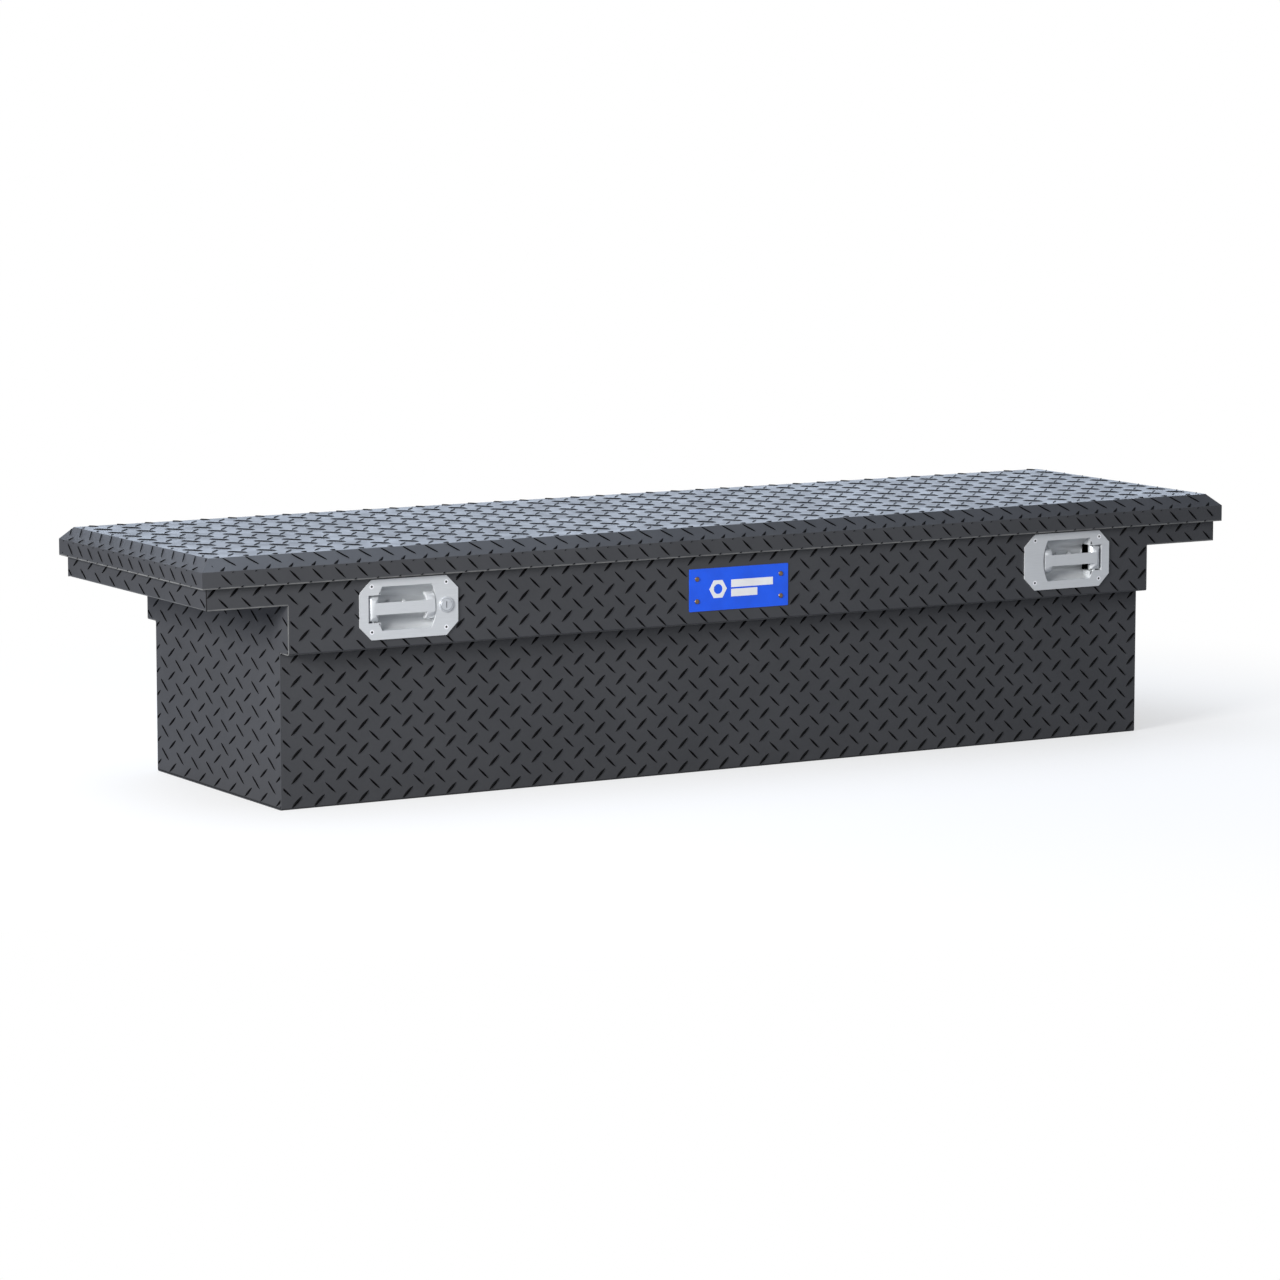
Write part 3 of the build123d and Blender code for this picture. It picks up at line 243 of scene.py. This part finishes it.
def moulded(name, dark, light, rough):
    """Moulded rubber or plastic with a fine grain."""
    g = Graph(name, rough)
    g.colour(g.ramp(g.noise(50, 5), (0.3, dark), (0.7, light)))
    g.roughness(g.span(g.noise(200, 3), rough - 0.08, rough + 0.06))
    g.bump(g.cells(700), 0.05 * MM)
    return g.material


def foam(name):
    """Cut foam: open cells over uneven colour."""
    g = Graph(name, 0.9, sheen=0.2)
    g.colour(g.ramp(g.noise(14, 6), (0.3, (0.45, 0.38, 0.22)), (0.7, (0.62, 0.55, 0.36))))
    g.bump(g.cells(500), 0.4 * MM)
    return g.material


# the colour of the painted highlight along the folded edges
EDGE_HIGHLIGHT = (0.16, 0.16, 0.155)
COAT_DARK, COAT_LIGHT, COAT_ROUGH = (0.037, 0.038, 0.0415), (0.045, 0.046, 0.050), 0.42
# painted highlight lines along folded edges: axis and place, and the stretch on another axis
LEDGE_LINE = ("Z", ledge + HIGHLIGHT_BAND, "X", 0.0, stem)
WING_LINE = ("Z", wing_foot + HIGHLIGHT_BAND, "X", stem, wing)
STEM_LINE = ("X", stem, "Z", ledge, wing_foot)
LID_LINE = ("Z", skin_low.z + HIGHLIGHT_BAND, "X", 0.0, skin_high.x + MM)


def black_coat(name, wear_and_highlight):
    """The box's own powder coat with a few painted highlight lines along its folded edges."""
    return powder_coat(name, COAT_DARK, COAT_LIGHT, COAT_ROUGH, wear_and_highlight)


ENDS_COAT = black_coat("powder_coat_ends", (WING_LINE,))
SHEET_LOOKS = {  # by node, in front of the look of the node's slot
    "tub_wrap": black_coat("powder_coat_wrap", (LEDGE_LINE, WING_LINE, STEM_LINE)),
    "end_panel_left": ENDS_COAT,
    "end_panel_right": ENDS_COAT,
    "lid_skin": black_coat("powder_coat_lid", (LID_LINE,)),
}
LOOKS = {
    "bare_sheet": brushed("mill_finish_aluminium", (0.52, 0.53, 0.55), (0.66, 0.67, 0.69), 0.38),
    "foam": foam("cut_foam"),
    "seal_rubber": moulded("seal_rubber", (0.010, 0.010, 0.011), (0.018, 0.018, 0.019), 0.7),
    "stainless": brushed(
        "brushed_stainless", (0.60, 0.615, 0.625), (0.67, 0.685, 0.695), 0.42, metal=0.4
    ),
    "zinc_steel": plated("zinc_plated_steel", (0.50, 0.50, 0.48), (0.66, 0.66, 0.63), 0.32),
    "lock_chrome": brushed("lock_satin", (0.56, 0.58, 0.60), (0.62, 0.64, 0.66), 0.34, metal=0.5),
    "blue_plate": enamel("blue_enamel", (0.0, 0.085, 0.76), (0.0, 0.10, 0.86), 0.42),
    "bronze_rivet": polished("bronze_rivet", (0.30, 0.20, 0.12), 0.35),
    "nylon": moulded("black_nylon", (0.016, 0.016, 0.018), (0.026, 0.026, 0.028), 0.5),
    "strut_black": powder_coat(
        "strut_gloss_black", (0.008, 0.008, 0.009), (0.013, 0.013, 0.014), 0.18
    ),
    "strut_chrome": polished("strut_rod_chrome", (0.78, 0.79, 0.81), 0.08),
}
WHITE_PRINT = enamel("white_enamel", (0.78, 0.78, 0.78), (0.86, 0.86, 0.86), 0.4)
# the lugs' coat is the plate's powder coat painted near black: painted shade for their shadowed flanks
LUG_SHADE_COAT = powder_coat(
    "lug_coat_painted_shade", (0.0010, 0.0010, 0.0012), (0.0020, 0.0020, 0.0022), 0.5, shine=0.08
)
# near black: painted shade for the screw recesses, and the colour of the dark seams at the wing corners
RECESS_SHADE_AND_SEAM = moulded("screw_recess", (0.004, 0.004, 0.004), (0.008, 0.008, 0.008), 0.8)

for row in frame["record"]["subparts"]:
    node = frame["nodes"][row["node"]]
    node.data.materials.clear()
    node.data.materials.append(SHEET_LOOKS.get(row["node"]) or LOOKS[row["material_slot"]])


# ---------------------------------------------------------------- mesh helpers
def piece(name, vertices, faces, material, body, smooth=True):
    """A new mesh object that rides on a body."""
    mesh = bpy.data.meshes.new(name)
    mesh.from_pydata(vertices, [], faces)
    mesh.validate()
    mesh.materials.append(material)
    mesh.polygons.foreach_set("use_smooth", [smooth] * len(mesh.polygons))
    thing = bpy.data.objects.new(name, mesh)
    bpy.context.scene.collection.objects.link(thing)
    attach(thing, body)
    return thing


WELD_GAP = 0.002 * MM
SOFT_EDGE = 0.35 * MM
SHARP_ANGLE = math.radians(35)  # edges that turn more than this are rounded


def soften(node):
    """Rounds the sharp edges of a CAD node by a small bevel, with its mesh left as it is."""
    weld = node.modifiers.new("weld", "WELD")
    weld.merge_threshold = WELD_GAP
    bevel = node.modifiers.new("bevel", "BEVEL")
    bevel.width = SOFT_EDGE
    bevel.segments = 2
    bevel.limit_method = "ANGLE"
    bevel.angle_limit = SHARP_ANGLE


# ---------------------------------------------------------------- tread lugs
LUG_STEPS = 6  # along half of a lug
LUG_RISE = 1.6  # how steeply a lug's back rises from its tips to its full height
TIP_PART = 3  # a lug reaches past its span by its width over this
LUG_ROWS = ((-1.0, 0.0), (-0.5, 0.56), (0.0, 1.0), (0.5, 0.56), (1.0, 0.0))  # place, height


def lug_form(span_u, span_v, width, slant):
    """One closed lug as points (u, v, height) and faces: a lens along a diagonal, with a domed back."""
    along = Vector((span_u / 2, slant * span_v / 2, 0))
    half = along.length
    direction = along.normalized()
    across = Vector((-direction.y, direction.x, 0))
    points, faces, rings = [], [], []
    for i in range(-LUG_STEPS, LUG_STEPS + 1):
        t = i / LUG_STEPS
        swell = 1 - t * t
        middle = direction * (half * t)
        if abs(i) == LUG_STEPS:
            rings.append([len(points)])
            points.append((middle.x, middle.y, -LUG_SINK))
            continue
        ring = []
        for place, height in LUG_ROWS:
            p = middle + across * (width / 2 * swell * place)
            rise = LUG_HEIGHT * height * min(1.0, swell * LUG_RISE)
            ring.append(len(points))
            points.append((p.x, p.y, rise - LUG_SINK * (1 - height)))
        rings.append(ring)
    flip = 1 if across.cross(direction).z < 0 else -1
    for a, b in zip(rings, rings[1:]):
        if len(a) == 1:
            fan = [(a[0], b[k + 1], b[k]) for k in range(len(b) - 1)]
            fan.append((a[0], b[0], b[-1]))
        elif len(b) == 1:
            fan = [(a[k], a[k + 1], b[0]) for k in range(len(a) - 1)]
            fan.append((a[-1], a[0], b[0]))
        else:
            fan = [(a[k], a[k + 1], b[k + 1], b[k]) for k in range(len(a) - 1)]
            fan.append((a[-1], a[0], b[0], b[-1]))
        faces.extend(face[::flip] for face in fan)
    return points, faces


def cut(points, faces, planes):
    """A lug cut off square by planes (point, outward direction), and closed again."""
    mesh = bmesh.new()
    corners = [mesh.verts.new(p) for p in points]
    for face in faces:
        mesh.faces.new([corners[i] for i in face])
    for point, outward in planes:
        everything = mesh.verts[:] + mesh.edges[:] + mesh.faces[:]
        result = bmesh.ops.bisect_plane(
            mesh, geom=everything, plane_co=point, plane_no=outward, clear_outer=True
        )
        opened = [e for e in result["geom_cut"] if isinstance(e, bmesh.types.BMEdge)]
        if opened:
            bmesh.ops.holes_fill(mesh, edges=opened, sides=0)
    mesh.verts.index_update()
    kept = [tuple(v.co) for v in mesh.verts], [[v.index for v in f.verts] for f in mesh.faces]
    mesh.free()
    return kept


def keep_off(centre, reach, hole):
    """None if a lug's middle is inside a hole, else the planes that cut it back to the hole's edge."""
    (u0, u1), (v0, v1) = hole
    gaps = [
        (u0 - centre[0], (u0, centre[1]), (1, 0)),
        (centre[0] - u1, (u1, centre[1]), (-1, 0)),
        (v0 - centre[1], (centre[0], v0), (0, 1)),
        (centre[1] - v1, (centre[0], v1), (0, -1)),
    ]
    gap, point, outward = max(gaps, key=lambda item: item[0])
    if gap >= (reach[0] if outward[0] else reach[1]):
        return []
    if gap <= 0:
        return None
    return [(Vector((point[0] - centre[0], point[1] - centre[1], 0)), Vector((*outward, 0)))]


def steps_between(first, low, high, pitch):
    """Places at a pitch from a first one that cover a stretch, with one to spare at each end."""
    start, end = math.floor((low - first) / pitch), math.ceil((high - first) / pitch)
    return [first + i * pitch for i in range(start, end + 1)]


def edge_cuts(centre, reach, limits):
    """Planes that cut a lug off at the limits of its face."""
    planes = []
    for axis, direction in enumerate((Vector((1, 0, 0)), Vector((0, 1, 0)))):
        low, high = limits[axis]
        for gap, step in ((centre[axis] - low, -1), (high - centre[axis], 1)):
            if gap < reach[axis]:
                planes.append((direction * (step * gap), direction * step))
    return planes


def tread(name, body, face, limits, pitch, lug, start, holes=()):
    """Lugs of both slants over a flat face: face is (origin, u, v), and lugs stand up along u x v.

    limits are ((u0, u1), (v0, v1)); start is the centre of one rising lug, and the falling
    lugs are half a pitch on.
    """
    origin, u, v = face
    up = u.cross(v)
    (u0, u1), (v0, v1) = limits
    span_u, span_v, width = lug
    reach = (span_u / 2 + width / TIP_PART, span_v / 2 + width / TIP_PART)
    vertices, faces = [], []
    for slant, shift, slim in ((1, 0.0, 1.0), (-1, 0.5, FALLING_SLIM)):
        form = lug_form(span_u, span_v, width * slim, slant)
        for cu in steps_between(start[0] + shift * pitch[0], u0, u1, pitch[0]):
            for cv in steps_between(start[1] + shift * pitch[1], v0, v1, pitch[1]):
                if not (u0 - reach[0] < cu < u1 + reach[0] and v0 - reach[1] < cv < v1 + reach[1]):
                    continue
                hole_cuts = [keep_off((cu, cv), reach, hole) for hole in holes]
                if None in hole_cuts:
                    continue
                planes = edge_cuts((cu, cv), reach, limits)
                planes += [plane for some in hole_cuts for plane in some]
                points, corners = cut(*form, planes) if planes else form
                base = len(vertices)
                vertices.extend(origin + u * (cu + p[0]) + v * (cv + p[1]) + up * p[2] for p in points)
                faces.extend([base + n for n in corner] for corner in corners)
    piece(name, vertices, faces, LUG_SHADE_COAT, body)


UNDER_PLATE = 2 * MM  # lugs run this far in under the edge of a plate


def covered(node):
    """The rectangle behind a plate that is kept free of lugs, as limits along X and Z."""
    low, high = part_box(node)
    return (low.x + UNDER_PLATE, high.x - UNDER_PLATE), (low.z + UNDER_PLATE, high.z - UNDER_PLATE)


plates = [covered(node) for node in ("handle_plate_left", "handle_plate_right", "nameplate")]

# pitch along and up a face, and a lug's span along and up it and its width
FRONT_PITCH, FRONT_LUG = (35.65 * MM, 34.92 * MM), (18.5 * MM, 17.8 * MM, 5.0 * MM)
END_PITCH, END_LUG = (51.5 * MM, 34.6 * MM), (26 * MM, 17.5 * MM, 5.0 * MM)
TOP_PITCH, TOP_LUG = (45.6 * MM, 51.5 * MM), (23 * MM, 25.5 * MM, 4.2 * MM)
FRONT_START = (-723 * MM, 185 * MM)
STEM_START = (-723 * MM, 289 * MM)
SKIRT_START = (-723 * MM, 324.5 * MM)
END_START = (0.0, 185 * MM)
TOP_START = (0.0, 0.0)


def flat(low, high):
    """Limits of a flat stretch between two folds."""
    return low + BEND, high - BEND


def tub_treads():
    """Lugs on the tub's upright outer faces."""
    walls = (("front", wrap_low.y, X, plates), ("rear", wrap_high.y, -X, ()))
    for word, y, u, holes in walls:
        face = (Y * y, u, Z)
        limits = (flat(-stem, stem), flat(ledge, rim))
        name = f"tread_upper_{word}"
        tread(name, "tub", face, limits, FRONT_PITCH, FRONT_LUG, STEM_START, holes)
        for side in (-1, 1):
            ends = sorted(s * u.x for s in (side * (stem - BEND), side * (wing - MM)))
            limits = (ends, flat(wing_foot, rim))
            name = f"tread_wing_{word}_{'right' if side > 0 else 'left'}"
            tread(name, "tub", face, limits, FRONT_PITCH, FRONT_LUG, STEM_START)
    for word, y, u in (("front", lower_front, X), ("rear", lower_rear, -X)):
        face = (Y * y, u, Z)
        limits = (flat(-stem, stem), flat(0, ledge))
        tread(f"tread_lower_{word}", "tub", face, limits, FRONT_PITCH, FRONT_LUG, FRONT_START)
    for word, side in (("left", -1), ("right", 1)):
        inner = sorted((side * (lower_front + BEND), side * (lower_rear - BEND)))
        outer = sorted((side * (wrap_low.y + BEND), side * (wrap_high.y - BEND)))
        face, wing_face = (X * side * stem, Y * side, Z), (X * side * wing, Y * side, Z)
        stretches = (
            ("end_lower", face, (inner, (BEND, ledge))),
            ("end_upper", face, (outer, (ledge, wing_foot - BEND))),
            ("wing_end", wing_face, (outer, flat(wing_foot, rim))),
        )
        for part, place, limits in stretches:
            tread(f"tread_{part}_{word}", "tub", place, limits, END_PITCH, END_LUG, END_START)


def lid_treads():
    """Lugs on the lid's top, bevels and skirts."""
    top = (flat(-top_half, top_half), flat(top_front, top_rear))
    tread("tread_lid_top", "lid", (Z * skin_high.z, X, Y), top, TOP_PITCH, TOP_LUG, TOP_START)
    half, rise = skin_high.x, skin_high.z - bevel_foot
    along_x = (-top_half, top_half)
    # word, u, the outer face's place, the bevel's run inwards, and the stretch along u
    sides = (
        ("front", X, Y * skin_low.y, Y * (top_front - skin_low.y), along_x),
        ("rear", -X, Y * skin_high.y, Y * (top_rear - skin_high.y), along_x),
        ("left", -Y, X * -half, X * (half - top_half), (-top_rear, -top_front)),
        ("right", Y, X * half, X * (top_half - half), (top_front, top_rear)),
    )
    for word, u, base, run_in, along in sides:
        slope = run_in + Z * rise
        bevel = (base + Z * bevel_foot, u, slope.normalized())
        limits = (along, (MM, slope.length - MM))
        tread(f"tread_bevel_{word}", "lid", bevel, limits, FRONT_PITCH, FRONT_LUG, (0, 0))
        limits = (along, (skin_low.z + MM, bevel_foot - MM))
        tread(f"tread_skirt_{word}", "lid", (base, u, Z), limits, FRONT_PITCH, FRONT_LUG, SKIRT_START)


tub_treads()
lid_treads()

# ---------------------------------------------------------------- softened edges of the CAD nodes
HANDLE_METAL = [f"{part}_{side}" for part in ("handle_plate", "lever") for side in ("left", "right")]
for name in HANDLE_METAL + ["lock_housing", "lock_plug"]:
    soften(frame["nodes"][name])


# ---------------------------------------------------------------- a plain mark on the nameplate
def raised(name, outlines, y, thickness, material):
    """Flat shapes standing forward from an upright plane: each outline is points (x, z)."""
    vertices, faces = [], []
    for outline in outlines:
        base, count = len(vertices), len(outline)
        vertices.extend((x, y, z) for x, z in outline)
        vertices.extend((x, y - thickness, z) for x, z in outline)
        faces.append([base + i for i in range(count)][::-1])
        faces.append([base + count + i for i in range(count)])
        for i in range(count):
            k = (i + 1) % count
            faces.append([base + i, base + k, base + count + k, base + count + i])
    return piece(name, vertices, faces, material, "tub", smooth=False)


def rectangle(left, foot, right, head):
    """The outline of an upright rectangle, as points (x, z)."""
    return [(left, foot), (right, foot), (right, head), (left, head)]


# the mark's measures, as shares of the nameplate's height
NUT_RADIUS, NUT_BORE, NUT_PLACE = 0.24, 0.12, 0.78
BAR_HALF, BAR_START = 0.09, 1.5 * NUT_RADIUS
BARS = ((0.11, 0.42), (-0.11, 0.85))  # height over the middle, end short of the right edge
MARK_IN, MARK_THICK = 0.05 * MM, 0.2 * MM  # how far it is let in, and its thickness


def badge_mark():
    """A hexagon nut in outline and two plain bars."""
    low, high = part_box("nameplate")
    middle = (low + high) / 2
    height = high.z - low.z
    radius, bore = height * NUT_RADIUS, height * NUT_BORE
    centre = low.x + height * NUT_PLACE
    shapes = []
    for i in range(6):
        a, b = math.radians(60 * i), math.radians(60 * i + 60)
        ring = [(radius, a), (radius, b), (bore, b), (bore, (a + b) / 2), (bore, a)]
        shapes.append([(centre + r * math.cos(t), middle.z + r * math.sin(t)) for r, t in ring])
    start, thick = centre + height * BAR_START, height * BAR_HALF
    for rise, short in BARS:
        z = middle.z + rise * height
        shapes.append(rectangle(start, z - thick, high.x - height * short, z + thick))
    raised("nameplate_mark", shapes, low.y + MARK_IN, MARK_THICK, WHITE_PRINT)


# ---------------------------------------------------------------- screw recesses and wing seams
RECESS_R = 1.7 * MM
RECESS_SIDES = 16
RECESS_IN, RECESS_THICK = 0.2 * MM, 0.25 * MM
HEAD_REACH = 10 * MM  # points of one screw's head lie nearer to each other than this
SEAM = 1.4 * MM
SEAM_IN, SEAM_THICK = 0.1 * MM, 0.3 * MM
SCREW_LOOK = enamel("bright_screw", (0.80, 0.80, 0.82), (0.90, 0.90, 0.92), 0.3)


def screw_centres():
    """The middles of the handle screws' heads."""
    node = frame["nodes"]["handle_screws"]
    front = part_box("handle_screws")[0].y
    groups = []
    for p in (vertex.co for vertex in node.data.vertices if vertex.co.y < front + 0.05 * MM):
        for group in groups:
            if (group[0] - p).length < HEAD_REACH:
                group.append(p)
                break
        else:
            groups.append([p])
    return [sum(group, Vector()) / len(group) for group in groups]


def screw_recesses():
    """A bright look for the handle screws, with a near-black disc of painted shade for the recess in
    every head.
    """
    frame["nodes"]["handle_screws"].data.materials.clear()
    frame["nodes"]["handle_screws"].data.materials.append(SCREW_LOOK)
    turns = [math.tau * i / RECESS_SIDES for i in range(RECESS_SIDES)]
    disc = [(RECESS_R * math.cos(t), RECESS_R * math.sin(t)) for t in turns]
    shapes = [[(middle.x + x, middle.z + z) for x, z in disc] for middle in screw_centres()]
    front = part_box("handle_screws")[0].y
    # each disc is painted shade standing in for the recess in a screw head
    raised("screw_recesses", shapes, front + RECESS_IN, RECESS_THICK, RECESS_SHADE_AND_SEAM)


def corner_seams():
    """The dark joint between the front sheet and the end of each wing."""
    shapes = []
    for side in (-1, 1):
        left, right = sorted((side * wing, side * (wing - SEAM)))
        shapes.append(rectangle(left, wing_foot, right, rim - BEND))
    raised("wing_corner_seams", shapes, wrap_low.y + SEAM_IN, SEAM_THICK, RECESS_SHADE_AND_SEAM)


badge_mark()
screw_recesses()
corner_seams()


# ---------------------------------------------------------------- floor, light and camera
FLOOR_HALF = 400
FADE_FROM, FADE_TO = 0.7, 1.7  # distance from the middle at which the floor turns white


def studio_floor():
    """A pale floor that fades to white away from the object.

    To light it is a dark flag that sends little back up.
    """
    mesh = bpy.data.meshes.new("floor")
    signs = ((-1, -1), (1, -1), (1, 1), (-1, 1))
    mesh.from_pydata([(FLOOR_HALF * a, FLOOR_HALF * b, 0) for a, b in signs], [], [(0, 1, 2, 3)])
    floor = bpy.data.objects.new("floor", mesh)
    bpy.context.scene.collection.objects.link(floor)
    material = bpy.data.materials.new("pale_floor")
    material.use_nodes = True
    nodes, links = material.node_tree.nodes, material.node_tree.links
    ground = nodes["Principled BSDF"]
    ground.inputs["Base Color"].default_value = (0.72, 0.71, 0.70, 1)
    ground.inputs["Roughness"].default_value = 0.9
    place = nodes.new("ShaderNodeTexCoord")
    length = nodes.new("ShaderNodeVectorMath")
    length.operation = "LENGTH"
    links.new(place.outputs["Object"], length.inputs[0])
    fade = nodes.new("ShaderNodeMapRange")
    fade.interpolation_type = "SMOOTHSTEP"
    fade.inputs["From Min"].default_value = FADE_FROM
    fade.inputs["From Max"].default_value = FADE_TO
    fade.inputs["To Min"].default_value = 0.6
    links.new(length.outputs["Value"], fade.inputs["Value"])
    glow = nodes.new("ShaderNodeEmission")
    pale = nodes.new("ShaderNodeMixShader")
    links.new(fade.outputs["Result"], pale.inputs["Fac"])
    links.new(ground.outputs["BSDF"], pale.inputs[1])
    links.new(glow.outputs["Emission"], pale.inputs[2])
    flag = nodes.new("ShaderNodeBsdfDiffuse")
    flag.inputs["Color"].default_value = (0.22, 0.22, 0.23, 1)
    seen = nodes.new("ShaderNodeLightPath")
    mix = nodes.new("ShaderNodeMixShader")
    links.new(seen.outputs["Is Camera Ray"], mix.inputs["Fac"])
    links.new(flag.outputs["BSDF"], mix.inputs[1])
    links.new(pale.outputs["Shader"], mix.inputs[2])
    links.new(mix.outputs["Shader"], nodes["Material Output"].inputs["Surface"])
    mesh.materials.append(material)


def studio_world():
    """White where the camera looks past the floor, and a dim cool sky for the light."""
    world = bpy.data.worlds.new("studio")
    bpy.context.scene.world = world
    world.use_nodes = True
    nodes, links = world.node_tree.nodes, world.node_tree.links
    sky = nodes["Background"]
    sky.inputs["Color"].default_value = (0.80, 0.87, 1.0, 1)
    sky.inputs["Strength"].default_value = 0.22
    white = nodes.new("ShaderNodeBackground")
    white.inputs["Strength"].default_value = 1.0
    seen = nodes.new("ShaderNodeLightPath")
    mix = nodes.new("ShaderNodeMixShader")
    links.new(seen.outputs["Is Camera Ray"], mix.inputs["Fac"])
    links.new(sky.outputs["Background"], mix.inputs[1])
    links.new(white.outputs["Background"], mix.inputs[2])
    links.new(mix.outputs["Shader"], nodes["World Output"].inputs["Surface"])


def lamp(name, place, aim, size, power, colour):
    """A soft light, width by height, that looks at a point."""
    light = bpy.data.lights.new(name, "AREA")
    light.shape = "RECTANGLE"
    light.size, light.size_y = size
    light.energy = power
    light.color = colour
    thing = bpy.data.objects.new(name, light)
    thing.location = place
    thing.visible_camera = False
    thing.rotation_euler = (Vector(aim) - Vector(place)).to_track_quat("-Z", "Y").to_euler()
    bpy.context.scene.collection.objects.link(thing)


# the camera as solved from the photo's perspective
CAMERA_PLACE = (-3.81315, -6.47229, 1.17831)
CAMERA_AIM = (0.49995, 0.85580, -0.13290)
SENSOR, LENS = 36, 138.96  # mm


def camera():
    """The camera, on a long lens from the front left, a little above the lid."""
    data = bpy.data.cameras.new("camera")
    data.sensor_width = SENSOR
    data.lens = LENS
    thing = bpy.data.objects.new("camera", data)
    thing.location = CAMERA_PLACE
    thing.rotation_euler = Vector(CAMERA_AIM).to_track_quat("-Z", "Y").to_euler()
    bpy.context.scene.collection.objects.link(thing)
    bpy.context.scene.camera = thing


WHITE, COOL = (1, 1, 1), (0.74, 0.84, 1.0)
LAMPS = (  # name, place, aim, width and height, watts, colour
    ("key", (-5.2, -2.2, 2.0), (0, 0, 0.2), (1.8, 1.8), 520, WHITE),
    ("overhead", (-0.6, 0.6, 3.4), (0, 0, 0.3), (4.0, 4.0), 150, COOL),
    ("front", (1.6, -5.4, 1.3), (0, 0, 0.2), (3.6, 2.6), 52, WHITE),
    ("horizon", (3.8, 6.4, 1.7), (0, 0, 0.35), (11.0, 3.2), 300, COOL),
)
studio_floor()
studio_world()
for row in LAMPS:
    lamp(*row)
camera()
bpy.context.scene.view_settings.view_transform = "Standard"
